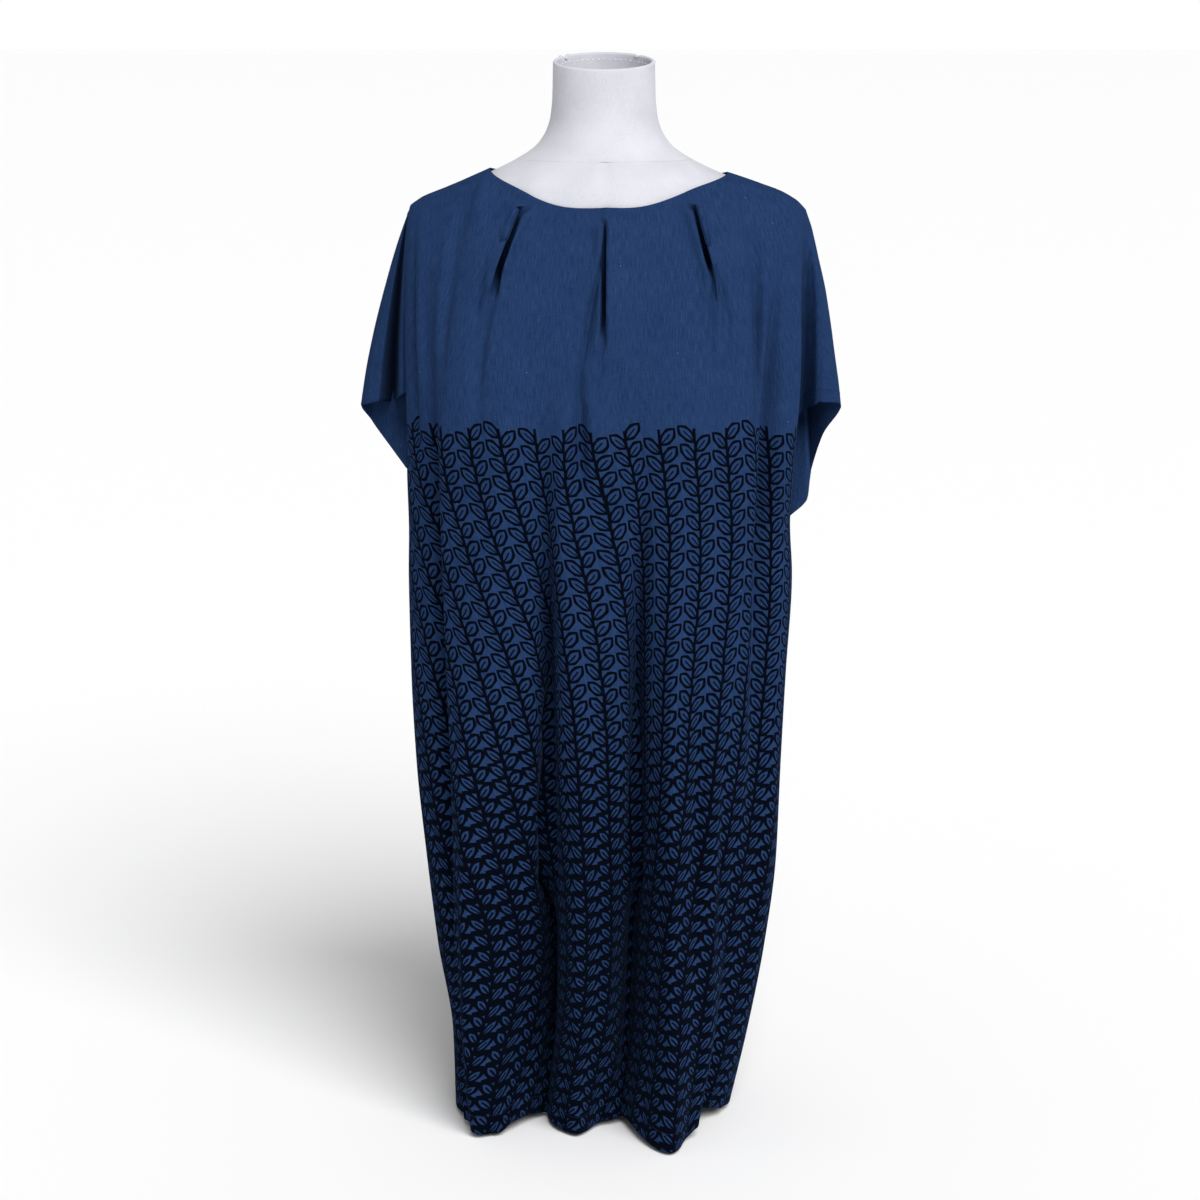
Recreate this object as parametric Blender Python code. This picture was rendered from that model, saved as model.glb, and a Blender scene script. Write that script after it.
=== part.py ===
"""A knee-length tunic of thin woven cloth, worn on a limbless dress form on a short counter stand.

Metres, +Z up, the front towards -Y. The origin lies on the foot's flat underside, below the shoulder seams.
"""

import math
from collections import namedtuple

import bmesh
import bpy
import numpy as np
from mathutils import Vector

# ---- Driving sizes ----------------------------------------------------------------------------------
WALL = 0.0013  # the cloth, with the turnings behind it
SEAM_GAP = 0.0003  # between sewn pieces, and between the stand's pieces
SQUARENESS = 2.4  # 2 is an ellipse; more squares off the hanging body's corners

HEM_Z = 0.006
JOIN_Z = 0.892  # below this the cloth hangs in level sections; above, it runs up over the form
TOP_LEVEL = 0.975  # the fold tables' first level: the neckline and the shoulder seams
SLEEVE_HEM_Z = 0.784
UNDERARM_Z = {"left": 0.700, "right": 0.650}

NECK_X = 0.002  # the neckline's middle
NECK_HALF_WIDTH = 0.116
NECK_CLEARANCE = 0.0030  # from the dress form to the cloth's outer side at the neckline
SHOULDER_Y = 0.002
SHOULDER_CROWN = 0.003  # how far the shoulder seam bows up
SHOULDER_TIP = {"left": (-0.195, 0.971), "right": (0.204, 0.966)}  # x, z

LEVELS = (TOP_LEVEL, 0.90, 0.80, 0.68, 0.55, 0.40, 0.25, 0.12, HEM_Z)

# ---- The fold lines that run down each panel, from its left side to its right side -------------------
# cells is the number of mesh columns to the next line. x is the line's place and out how far it stands
# proud of the plain section (minus for a valley), each on the nine LEVELS.
Fold = namedtuple("Fold", "name cells x out")
FRONT_FOLDS = (
    Fold("left side", 3, None, None),
    Fold("left side valley", 3,
         (-0.165, -0.180, -0.183, -0.184, -0.179, -0.168, -0.163, -0.156, -0.151),
         (0.000, -0.003, -0.007, -0.011, -0.012, -0.010, -0.005, 0.000, 0.005)),
    Fold("left neck point", 3,
         (-0.116, -0.146, -0.155, -0.158, -0.158, -0.154, -0.151, -0.150, -0.141),
         (0.000, 0.001, 0.002, 0.003, 0.004, 0.006, 0.008, 0.011, 0.016)),
    Fold("left pleat", 4,
         (-0.083, -0.118, -0.131, -0.124, -0.127, -0.134, -0.134, -0.128, -0.117),
         (0.000, 0.002, 0.003, 0.004, 0.005, 0.005, 0.008, 0.016, 0.026)),
    Fold("main left valley", 4,
         (-0.045, -0.060, -0.066, -0.065, -0.065, -0.064, -0.062, -0.070, -0.084),
         (0.000, -0.001, -0.003, -0.008, -0.015, -0.023, -0.036, -0.048, -0.056)),
    Fold("centre crease", 3,
         (-0.014, -0.018, -0.031, -0.042, -0.033, -0.026, -0.023, -0.025, -0.028),
         (0.000, 0.000, 0.000, 0.002, 0.002, 0.003, 0.003, 0.001, 0.000)),
    Fold("centre pleat", 5,
         (0.003, 0.004, 0.011, 0.028, 0.036, 0.037, 0.035, 0.031, 0.010),
         (0.000, 0.000, -0.002, -0.007, -0.014, -0.022, -0.035, -0.044, -0.046)),
    Fold("right crest", 3,
         (0.070, 0.074, 0.074, 0.075, 0.071, 0.072, 0.073, 0.071, 0.060),
         (0.000, 0.002, 0.004, 0.005, 0.008, 0.012, 0.022, 0.033, 0.041)),
    Fold("right pleat", 3,
         (0.088, 0.111, 0.118, 0.115, 0.112, 0.110, 0.108, 0.103, 0.090),
         (0.000, 0.000, 0.001, 0.001, 0.002, 0.004, 0.007, 0.010, 0.011)),
    Fold("right neck point", 3,
         (0.122, 0.142, 0.146, 0.147, 0.145, 0.141, 0.135, 0.127, 0.111),
         (0.000, -0.002, -0.001, 0.000, -0.002, -0.003, -0.006, -0.009, -0.012)),
    Fold("right soft fold", 3,
         (0.160, 0.164, 0.167, 0.168, 0.167, 0.162, 0.154, 0.142, 0.123),
         (0.000, 0.001, -0.003, -0.006, -0.007, -0.007, -0.006, -0.004, -0.002)),
    Fold("right side fold", 3,
         (0.184, 0.187, 0.190, 0.184, 0.183, 0.177, 0.170, 0.156, 0.133),
         (0.000, 0.004, 0.005, 0.002, 0.002, 0.002, 0.001, 0.000, 0.000)),
    Fold("right side", 0, None, None),
)
BACK_FOLDS = (
    Fold("left side", 3, None, None),
    Fold("left shoulder fold", 3,
         (-0.165, -0.184, -0.186, -0.184, -0.182, -0.176, -0.166, -0.152, -0.140),
         (0.000, 0.003, 0.005, 0.003, 0.002, 0.003, 0.006, 0.010, 0.012)),
    Fold("left neck point", 4,
         (-0.116, -0.140, -0.142, -0.142, -0.140, -0.134, -0.126, -0.114, -0.106),
         (0.000, -0.001, -0.002, -0.003, -0.005, -0.005, -0.010, -0.018, -0.024)),
    Fold("left blade crest", 4,
         (-0.075, -0.078, -0.080, -0.082, -0.084, -0.082, -0.076, -0.070, -0.062),
         (0.000, 0.002, 0.003, 0.004, 0.006, 0.008, 0.013, 0.020, 0.026)),
    Fold("middle valley", 5,
         (-0.012, -0.014, -0.016, -0.017, -0.018, -0.018, -0.014, -0.012, -0.010),
         (0.000, -0.001, -0.002, -0.003, -0.005, -0.004, -0.014, -0.024, -0.032)),
    Fold("right blade crest", 5,
         (0.062, 0.064, 0.066, 0.066, 0.064, 0.060, 0.056, 0.050, 0.044),
         (0.000, 0.002, 0.003, 0.003, 0.005, 0.007, 0.012, 0.018, 0.022)),
    Fold("right neck point", 3,
         (0.122, 0.138, 0.140, 0.138, 0.132, 0.124, 0.112, 0.100, 0.092),
         (0.000, -0.001, -0.002, -0.003, -0.005, -0.005, -0.010, -0.017, -0.022)),
    Fold("right shoulder fold", 3,
         (0.175, 0.186, 0.186, 0.182, 0.176, 0.168, 0.158, 0.142, 0.124),
         (0.000, 0.003, 0.004, 0.003, 0.003, 0.004, 0.007, 0.010, 0.012)),
    Fold("right side", 0, None, None),
)

# ---- The neckline's three pleats ---------------------------------------------------------------------
# The panel on the pleat's lap side lies over the other by `over` and stands `high` above it. closed is
# the level down to which it stays folded, open_ the level where it has run out.
Pleat = namedtuple("Pleat", "fold lap high over closed open_")
PLEATS = (
    Pleat("left pleat", "left", 0.0055, 0.003, 0.925, 0.800),
    Pleat("centre pleat", "right", 0.0055, 0.003, 0.900, 0.790),
    Pleat("right pleat", "right", 0.0055, 0.003, 0.930, 0.850),
)
PLEAT_STITCHED = 0.25  # how much of its height a pleat has at the neckline, where it is stitched down
PLEAT_STITCHING = 0.014  # how far the stitching runs down
PLEAT_PITCH = 0.003  # between the pleat's own columns where it has run out
LAP_RISE = 0.022  # how far from its edge the upper layer starts to rise

# ---- The panels' side edges: height, x, y. Armhole above the underarm, side seam below ---------------
Edge = namedtuple("Edge", "z x y")
FRONT_EDGES = {
    "left": (
        Edge(0.945, -0.199, -0.020), Edge(0.905, -0.203, -0.032), Edge(0.865, -0.205, -0.034),
        Edge(0.824, -0.206, -0.034), Edge(0.784, -0.206, -0.032), Edge(0.750, -0.206, -0.026),
        Edge(0.720, -0.204, -0.013), Edge(0.700, -0.203, 0.000), Edge(0.640, -0.202, 0.000),
        Edge(0.590, -0.203, 0.000), Edge(0.490, -0.202, 0.000), Edge(0.390, -0.198, 0.000),
        Edge(0.290, -0.189, 0.000), Edge(0.190, -0.178, 0.000), Edge(0.090, -0.163, 0.000),
        Edge(HEM_Z, -0.161, 0.000),
    ),
    "right": (
        Edge(0.945, 0.205, -0.024), Edge(0.905, 0.202, -0.038), Edge(0.865, 0.202, -0.042),
        Edge(0.824, 0.203, -0.042), Edge(0.784, 0.203, -0.038), Edge(0.750, 0.197, -0.034),
        Edge(0.715, 0.192, -0.028), Edge(0.680, 0.190, -0.014), Edge(0.650, 0.192, 0.000),
        Edge(0.590, 0.195, 0.000), Edge(0.490, 0.190, 0.000), Edge(0.390, 0.186, 0.000),
        Edge(0.290, 0.183, 0.000), Edge(0.190, 0.172, 0.000), Edge(0.090, 0.155, 0.000),
        Edge(HEM_Z, 0.137, 0.000),
    ),
}
BACK_ARMHOLE_Y = {"left": 0.030, "right": 0.034}  # how far behind the side seams the back's armholes lie
FRONT_DEPTH = ((JOIN_Z, 0.113), (0.860, 0.119), (0.800, 0.1265), (0.735, 0.130), (0.680, 0.129),
               (0.600, 0.127), (0.500, 0.124), (0.400, 0.119), (0.300, 0.113), (0.200, 0.108),
               (0.100, 0.104), (HEM_Z, 0.102))
BACK_DEPTH = ((JOIN_Z, 0.105), (0.850, 0.110), (0.780, 0.113), (0.700, 0.114), (0.600, 0.116),
              (0.500, 0.121), (0.400, 0.126), (0.300, 0.124), (0.200, 0.120), (0.100, 0.117),
              (HEM_Z, 0.116))

# ---- The grown-on sleeves: the overarm seam from the shoulder tip to the sleeve's lower corner --------
OVERARM = {
    "left": (
        Edge(0.971, -0.195, 0.002), Edge(0.945, -0.205, 0.003), Edge(0.925, -0.212, 0.004),
        Edge(0.885, -0.224, 0.004), Edge(0.844, -0.235, 0.004), Edge(0.803, -0.244, 0.004),
        Edge(0.768, -0.247, 0.004),
    ),
    "right": (
        Edge(0.966, 0.204, 0.002), Edge(0.945, 0.209, -0.010), Edge(0.925, 0.212, -0.018),
        Edge(0.885, 0.216, -0.025), Edge(0.844, 0.2168, -0.027), Edge(0.803, 0.2160, -0.027),
        Edge(0.780, 0.2155, -0.026),
    ),
}
FORE_AND_AFT = (0.0, 1.0, 0.0)
OVERARM_ACROSS = {"left": FORE_AND_AFT, "right": (0.8, 0.6, 0.0)}  # the way the cloth runs across the seam
# A sleeve's section at its hem: share of the way from armhole to overarm seam, and how far the cloth
# swings out sideways, backwards and upwards from the straight line between them.
Swing = namedtuple("Swing", "share side back up")
FRONT_SLEEVES = {
    "left": (Swing(0.22, 0.004, 0.034, 0.0), Swing(0.62, 0.000, -0.022, 0.0), Swing(0.85, 0.002, -0.012, 0.0)),
    "right": (Swing(0.45, 0.001, 0.006, 0.0),),
}
BACK_SLEEVES = {
    "left": (Swing(0.30, 0.000, 0.020, 0.0), Swing(0.65, 0.002, 0.034, 0.0), Swing(0.88, 0.002, 0.018, 0.0)),
    "right": (Swing(0.30, 0.011, 0.018, 0.0), Swing(0.60, 0.020, 0.022, 0.012), Swing(0.84, 0.028, 0.004, 0.014)),
}
SWING_GROWTH = 1.3  # the swing dies away towards the shoulder tip
SLEEVE_CELLS = 7
SLEEVE_CELL = 0.004  # the narrowest a sleeve's mesh cells get towards the shoulder tip
CLOTH_SHARP_ANGLE = 75

# ---- Mesh rows: shares of the way down from the top edge to JOIN_Z, then heights ---------------------
TOP_SHARES = (0.0, 0.10, 0.20, 0.32, 0.46, 0.64, 0.82)
HANGING_ROWS = (JOIN_Z, 0.855, 0.820, SLEEVE_HEM_Z, 0.750, 0.722, UNDERARM_Z["left"], 0.675,
                UNDERARM_Z["right"], 0.605, 0.555, 0.495, 0.430, 0.365, 0.305, 0.245, 0.190, 0.140,
                0.100, 0.065, 0.035, HEM_Z)

# ---- The dress form and its stand ---------------------------------------------------------------------
Ring = namedtuple("Ring", "z half_width front back")
TORSO_RINGS = (
    Ring(0.330, 0.130, 0.070, 0.080), Ring(0.334, 0.144, 0.079, 0.090), Ring(0.346, 0.152, 0.083, 0.095),
    Ring(0.380, 0.157, 0.085, 0.098), Ring(0.430, 0.156, 0.085, 0.098), Ring(0.490, 0.146, 0.083, 0.094),
    Ring(0.545, 0.131, 0.080, 0.088), Ring(0.597, 0.122, 0.080, 0.084), Ring(0.645, 0.128, 0.088, 0.086),
    Ring(0.690, 0.140, 0.101, 0.091), Ring(0.735, 0.146, 0.109, 0.095), Ring(0.780, 0.148, 0.109, 0.098),
    Ring(0.830, 0.155, 0.105, 0.099), Ring(0.870, 0.166, 0.103, 0.098), Ring(0.905, 0.179, 0.1000, 0.0940),
    Ring(0.930, 0.188, 0.098, 0.0895), Ring(0.950, 0.1930, 0.0935, 0.0845), Ring(0.966, 0.189, 0.0890, 0.0790),
    Ring(0.975, 0.180, 0.0862, 0.0760), Ring(0.983, 0.1655, 0.0840, 0.0730), Ring(0.991, 0.148, 0.0818, 0.0705),
    Ring(0.998, 0.130, 0.0795, 0.0685), Ring(1.0045, 0.1135, 0.0762, 0.067), Ring(1.0100, 0.1015, 0.0725, 0.065),
    Ring(1.0167, 0.088, 0.067, 0.063),
)
NECK_RINGS = (
    Ring(1.0170, 0.088, 0.067, 0.063), Ring(1.0225, 0.0785, 0.0635, 0.061), Ring(1.030, 0.0685, 0.060, 0.0585),
    Ring(1.038, 0.0620, 0.057, 0.056), Ring(1.047, 0.0572, 0.0545, 0.054), Ring(1.060, 0.0535, 0.0525, 0.0525),
    Ring(1.080, 0.0517, 0.0513, 0.0513), Ring(1.1115, 0.0510, 0.0510, 0.0510),
)
NECK_TILT = math.radians(8.8)  # the neck's rim slopes down to the front
NECK_RIM_ROUND = 0.003
NECK_BORE_RADIUS = 0.0445
NECK_BORE_DEPTH = 0.045
FORM_SIDES = 36

STAND_Y = 0.018  # the pole stands a little behind the neckline's middle
POLE_RADIUS = 0.0125
SOCKET_RADIUS = 0.022
SOCKET_HEIGHT = 0.016
FOOT_HALF_LENGTH = 0.112
FOOT_HALF_DEPTH = 0.046
FOOT_THICKNESS = 0.010
FOOT_EDGE = 0.002

CLOTH_BLUE = (0.020, 0.055, 0.160, 1.0)
COVER_WHITE = (0.80, 0.80, 0.83, 1.0)
POLE_STEEL = (0.62, 0.62, 0.64, 1.0)
FOOT_STEEL = (0.70, 0.70, 0.71, 1.0)


# ---- Curves through tables -----------------------------------------------------------------------------
def smooth(knots, values, at):
    """A cubic through the table's points that never swings past them, level beyond its ends."""
    order = np.argsort(knots)
    knots = np.asarray(knots, float)[order]
    values = np.asarray(values, float)[order]
    step = np.diff(knots)
    slope = np.diff(values) / step
    both = slope[1:] * slope[:-1]
    total = np.where(both > 0, slope[1:] + slope[:-1], 1.0)
    inner = np.where(both > 0, 2 * both / total, 0.0)
    tangent = np.concatenate([slope[:1], inner, slope[-1:]])
    at = np.clip(at, knots[0], knots[-1])
    k = np.clip(np.searchsorted(knots, at) - 1, 0, len(step) - 1)
    f = (at - knots[k]) / step[k]
    rise = values[k + 1] - values[k]
    bend = f * (1 - f) * step[k]
    return values[k] + rise * f * f * (3 - 2 * f) + bend * ((1 - f) * tangent[k] - f * tangent[k + 1])


def ease(start, end, at):
    """0 at start, 1 at end, level at both."""
    f = np.clip((at - start) / (end - start), 0.0, 1.0)
    return f * f * (3 - 2 * f)


def unit(vectors):
    return vectors / np.maximum(np.linalg.norm(vectors, axis=-1, keepdims=True), 1e-12)


# ---- The garment's plain shape, before its folds ---------------------------------------------------------
def edge_at(edges, z):
    heights = [edge.z for edge in edges]
    return np.array([smooth(heights, [edge.x for edge in edges], z), smooth(heights, [edge.y for edge in edges], z)])


def around(turn, x_edge, y_edge, depth):
    """A point of a squared half oval. turn runs from -1 at the left edge to 1 at the right edge."""
    angle = abs(turn) * math.pi / 2
    x = abs(x_edge) * math.copysign(math.sin(angle) ** (2 / SQUARENESS), turn)
    y = y_edge + (depth - y_edge) * max(math.cos(angle), 0.0) ** (2 / SQUARENESS)
    return x, y


def turn_of(x, x_edge):
    share = min(abs(x / x_edge), 1.0) ** (SQUARENESS / 2)
    return math.copysign(math.asin(share) * 2 / math.pi, x)


def form_height(x, y, grown):
    """The height of the dress form's shoulders under a point, the form grown sideways, found by halving."""
    low, high = TORSO_RINGS[-10].z, TORSO_RINGS[-1].z
    heights = [ring.z for ring in TORSO_RINGS]
    widths = [ring.half_width for ring in TORSO_RINGS]
    reaches = [ring.front if y < 0 else ring.back for ring in TORSO_RINGS]
    for _ in range(30):
        middle = (low + high) / 2
        half_width = smooth(heights, widths, middle) + grown
        inside = math.hypot(x / half_width, y / (smooth(heights, reaches, middle) + grown)) < 1
        low, high = (middle, high) if inside else (low, middle)
    return low


def neckline(turn, neck):
    """turn runs from -1 at the left neck point to 1 at the right one."""
    angle = turn * math.pi / 2
    side = math.copysign(abs(math.sin(angle)) ** (2 / neck["squareness"]), turn)
    forward = max(math.cos(angle), 0.0) ** (2 / neck["squareness"])
    x = NECK_X + NECK_HALF_WIDTH * side
    y = SHOULDER_Y + (neck["reach"] - SHOULDER_Y) * forward
    return np.array([x, y, form_height(x, y, NECK_CLEARANCE) + NECK_CLEARANCE * (1 - forward)])


FRONT_NECK = {"reach": -0.0892, "squareness": 2.5, "steep": 73}
BACK_NECK = {"reach": 0.0775, "squareness": 2.2, "steep": 64}


def top_edge(place, neck):
    """place is -2 at the left shoulder tip, -1 and 1 at the neck points, 2 at the right shoulder tip."""
    if abs(place) <= 1:
        return neckline(place, neck)
    share = abs(place) - 1
    tip_x, tip_z = SHOULDER_TIP["left" if place < 0 else "right"]
    start = neckline(math.copysign(1, place), neck)
    crown = 4 * SHOULDER_CROWN * share * (1 - share)
    return np.array([
        start[0] + (tip_x - start[0]) * share,
        SHOULDER_Y,
        start[2] + (tip_z - start[2]) * share + crown,
    ])


def place_of(x, neck):
    """The top edge's place for a fold that starts at x."""
    off = (x - NECK_X) / NECK_HALF_WIDTH
    if abs(off) <= 1:
        return math.copysign(math.asin(abs(off) ** (neck["squareness"] / 2)) * 2 / math.pi, off)
    tip_x = SHOULDER_TIP["left" if off < 0 else "right"][0]
    start_x = NECK_X + math.copysign(NECK_HALF_WIDTH, off)
    return math.copysign(1 + (x - start_x) / (tip_x - start_x), off)


# ---- One panel as a grid of points ---------------------------------------------------------------------
Panel = namedtuple("Panel", "facing folds edges depth neck pleats")


def columns_of(panel):
    """(fold index, share of the way to the next fold, pleat, layer) of each mesh column."""
    columns = []
    for i, fold in enumerate(panel.folds):
        pleat = next((p for p in panel.pleats if p.fold == fold.name), None)
        if pleat:
            layers = (0, 1, 2) if pleat.lap == "left" else (2, 1, 0)
            columns += [(i, 0.0, pleat, layer) for layer in layers]
        else:
            columns.append((i, 0.0, None, 0))
        columns += [(i, (n + 1) / fold.cells, None, 0) for n in range(fold.cells - 1)]
    return columns


def fold_turns(panel, z):
    """Where each fold line lies on the section at height z, as a turn from -1 to 1."""
    left, _ = edge_at(panel.edges["left"], z)
    right, _ = edge_at(panel.edges["right"], z)
    turns = [-1.0]
    for fold in panel.folds[1:-1]:
        x = smooth(LEVELS, fold.x, z)
        turns.append(turn_of(x, left if x < 0 else right))
    return turns + [1.0]


def between(values, column):
    i, share = column[0], column[1]
    return values[i] if share == 0 else values[i] + (values[i + 1] - values[i]) * share


def hanging_row(panel, columns, z):
    turns = fold_turns(panel, z)
    depth = panel.facing * smooth(*zip(*panel.depth), z)
    points = []
    for column in columns:
        turn = between(turns, column)
        x_edge, y_edge = edge_at(panel.edges["left" if turn < 0 else "right"], z)
        _, _, pleat, layer = column
        if pleat:
            x, _ = around(turn, x_edge, y_edge, depth)
            turn = turn_of(x + PLEAT_PITCH * layer * (1 if pleat.lap == "left" else -1), x_edge)
        x, y = around(turn, x_edge, y_edge + panel.facing * SEAM_GAP / 2, depth)
        points.append((x, y, z))
    return np.array(points)


def top_row(panel, columns):
    """The top edge, and the way the cloth leaves it: level at the shoulder seams, down at the neckline."""
    places = [-2.0] + [place_of(fold.x[0], panel.neck) for fold in panel.folds[1:-1]] + [2.0]
    points, leaving = [], []
    for column in columns:
        place = between(places, column)
        _, _, pleat, layer = column
        if pleat:
            place += PLEAT_PITCH / NECK_HALF_WIDTH * layer * (1 if pleat.lap == "left" else -1)
        point = top_edge(place, panel.neck)
        point[1] += panel.facing * SEAM_GAP / 2
        steep = math.radians(panel.neck["steep"]) * (1 - ease(0.35, 1.0, abs(place)))
        points.append(point)
        leaving.append((0.0, panel.facing * math.cos(steep), -math.sin(steep)))
    return np.array(points), np.array(leaving)


def plain_grid(panel, columns, top_shares, heights):
    """Rows of points from the top edge to the hem, with no folds, and each row's level in the tables."""
    top, leaving = top_row(panel, columns)
    join = hanging_row(panel, columns, heights[0])
    below = hanging_row(panel, columns, heights[0] - 0.01)
    arriving = unit(below - join)
    length = np.linalg.norm(join - top, axis=1, keepdims=True)
    leaving = leaving.copy()
    leaving[:, 0] = (join - top)[:, 0] / length[:, 0]
    leaving = unit(leaving)
    rows, levels = [], []
    for t in top_shares:
        start = 2 * t**3 - 3 * t**2 + 1
        leave = t**3 - 2 * t**2 + t
        arrive = t**3 - t**2
        rows.append(start * top + (1 - start) * join + (1.35 * leave * leaving + arrive * arriving) * length)
        levels.append(TOP_LEVEL + (heights[0] - TOP_LEVEL) * t)
    rows += [hanging_row(panel, columns, z) for z in heights]
    return np.array(rows), np.array(levels + list(heights))


def grid_normals(points, facing):
    """Unit normals that point out of the garment."""
    along = np.gradient(points, axis=1)
    down = np.gradient(points, axis=0)
    return unit(np.cross(along, down)) * facing


def panel_grid(panel, top_shares, heights):
    columns = columns_of(panel)
    plain, levels = plain_grid(panel, columns, top_shares, heights)
    normals = grid_normals(plain, panel.facing)
    sideways = unit(np.gradient(plain, axis=1))
    stands = np.array([[0.0] * len(levels)]
                      + [smooth(LEVELS, fold.out, levels) for fold in panel.folds[1:-1]]
                      + [[0.0] * len(levels)])
    out = np.zeros(plain.shape[:2])
    shift = np.zeros(plain.shape[:2])
    for j, (i, share, _, _) in enumerate(columns):
        out[:, j] = stands[i] if share == 0 else stands[i] + (stands[i + 1] - stands[i]) * ease(0, 1, share)
    below_neckline = ease(TOP_LEVEL - PLEAT_STITCHING / 2, TOP_LEVEL - PLEAT_STITCHING, levels)
    for pleat in panel.pleats:
        folded = ease(pleat.open_, pleat.closed, levels)
        high = pleat.high * folded * (PLEAT_STITCHED + (1 - PLEAT_STITCHED) * below_neckline)
        way = 1 if pleat.lap == "left" else -1
        edge = next(j for j, c in enumerate(columns) if c[2] is pleat and c[3] == 0)
        for j, (_, _, of_pleat, layer) in enumerate(columns):
            if of_pleat is pleat:
                out[:, j] += high * (1 - layer / 2)
                over = (0.0, pleat.over + PLEAT_PITCH, 2 * PLEAT_PITCH - 0.0005)[layer]
                shift[:, j] -= way * folded * below_neckline * over
            elif (j - edge) * way < 0:
                apart = np.linalg.norm(plain[:, j] - plain[:, edge], axis=1)
                out[:, j] += high * np.exp(-((apart / LAP_RISE) ** 2))
    points = plain + normals * out[..., None] + sideways * shift[..., None]
    return points, levels


def sleeve_rows(body, levels, side, panel, swings, hem_level):
    """Rows from the body's armhole edge to the overarm seam, narrowing to the shoulder tip, as (share of the
    way across, point) pairs. Narrow rows have fewer cells."""
    column = 0 if side == "left" else -1
    last = int(np.argmin(abs(levels - hem_level)))
    inner = body[: last + 1, column]
    overarm = OVERARM[side]
    tip_z, hem_z = overarm[0].z, overarm[-1].z
    knots = [0.0] + [swing.share for swing in swings] + [1.0]
    outward = -1 if side == "left" else 1
    rows = [[(0.0, inner[0])]]
    for point in inner[1:]:
        drop = (inner[0][2] - point[2]) / (inner[0][2] - inner[-1][2])
        z = tip_z + (hem_z - tip_z) * drop
        x, y = edge_at(overarm, z)
        seam = np.array([x, y, z]) + np.array(OVERARM_ACROSS[side]) * panel.facing * SEAM_GAP / 2
        cells = int(np.clip(np.linalg.norm(seam - point) / SLEEVE_CELL, 1, SLEEVE_CELLS))
        shares = np.linspace(0.0, 1.0, cells + 1)
        aside = smooth(knots, [0.0] + [swing.side * outward for swing in swings] + [0.0], shares)
        back = smooth(knots, [0.0] + [swing.back for swing in swings] + [0.0], shares)
        up = smooth(knots, [0.0] + [swing.up for swing in swings] + [0.0], shares)
        row = point + (seam - point) * shares[:, None]
        row += np.stack([aside, back, up * drop], axis=1) * drop**SWING_GROWTH
        rows.append(list(zip(shares, row)))
    return rows


# ---- From grids to solids --------------------------------------------------------------------------------
def add_grid(mesh, points, facing):
    """Adds a panel's faces, facing out of the garment, and returns its vertices row by row."""
    verts = [[mesh.verts.new(point) for point in row] for row in points]
    for upper, lower in zip(verts, verts[1:]):
        for j in range(len(upper) - 1):
            corners = [upper[j], lower[j], lower[j + 1], upper[j + 1]]
            mesh.faces.new(corners if facing < 0 else corners[::-1])
    return verts


def bridge(mesh, upper, lower, flip):
    """Fills between two rows of (share, vertex) pairs with triangles."""
    i = j = 0
    while i < len(upper) - 1 or j < len(lower) - 1:
        down = i == len(upper) - 1 or (j < len(lower) - 1 and lower[j + 1][0] <= upper[i + 1][0])
        if down:
            corners = [upper[i][1], lower[j][1], lower[j + 1][1]]
            j += 1
        else:
            corners = [upper[i][1], lower[j][1], upper[i + 1][1]]
            i += 1
        mesh.faces.new(corners[::-1] if flip else corners)


def thicken(mesh, wall, across_seam):
    """Gives the outer surface its inner one and its edges. across_seam maps a vertex to the direction
    across its seam, which the wall's end there must not lean along."""
    bmesh.ops.triangulate(mesh, faces=mesh.faces)
    mesh.normal_update()
    outer_faces = list(mesh.faces)
    rims = [edge for edge in mesh.edges if edge.is_boundary]
    inner = {}
    for vert in list(mesh.verts):
        normal = vert.normal.copy()
        if vert in across_seam:
            across = Vector(across_seam[vert])
            normal = (normal - across * normal.dot(across)).normalized()
        inner[vert] = mesh.verts.new(vert.co - normal * wall)
    for face in outer_faces:
        mesh.faces.new([inner[vert] for vert in reversed(face.verts)])
    for edge in rims:
        loop = edge.link_loops[0]
        start, end = loop.vert, loop.link_loop_next.vert
        mesh.faces.new([end, start, inner[start], inner[end]])


def principled(name, colour, roughness, metallic=0.0):
    material = bpy.data.materials.new(name)
    material.use_nodes = True
    shader = material.node_tree.nodes["Principled BSDF"]
    shader.inputs["Base Color"].default_value = colour
    shader.inputs["Roughness"].default_value = roughness
    shader.inputs["Metallic"].default_value = metallic
    material.diffuse_color = colour
    return material


def finish_object(name, mesh, material, sharp_angle=40):
    data = bpy.data.meshes.new(name)
    mesh.to_mesh(data)
    mesh.free()
    data.shade_smooth()
    data.set_sharp_from_angle(angle=math.radians(sharp_angle))
    data.materials.append(material)
    obj = bpy.data.objects.new(name, data)
    bpy.context.collection.objects.link(obj)
    return obj


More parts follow.
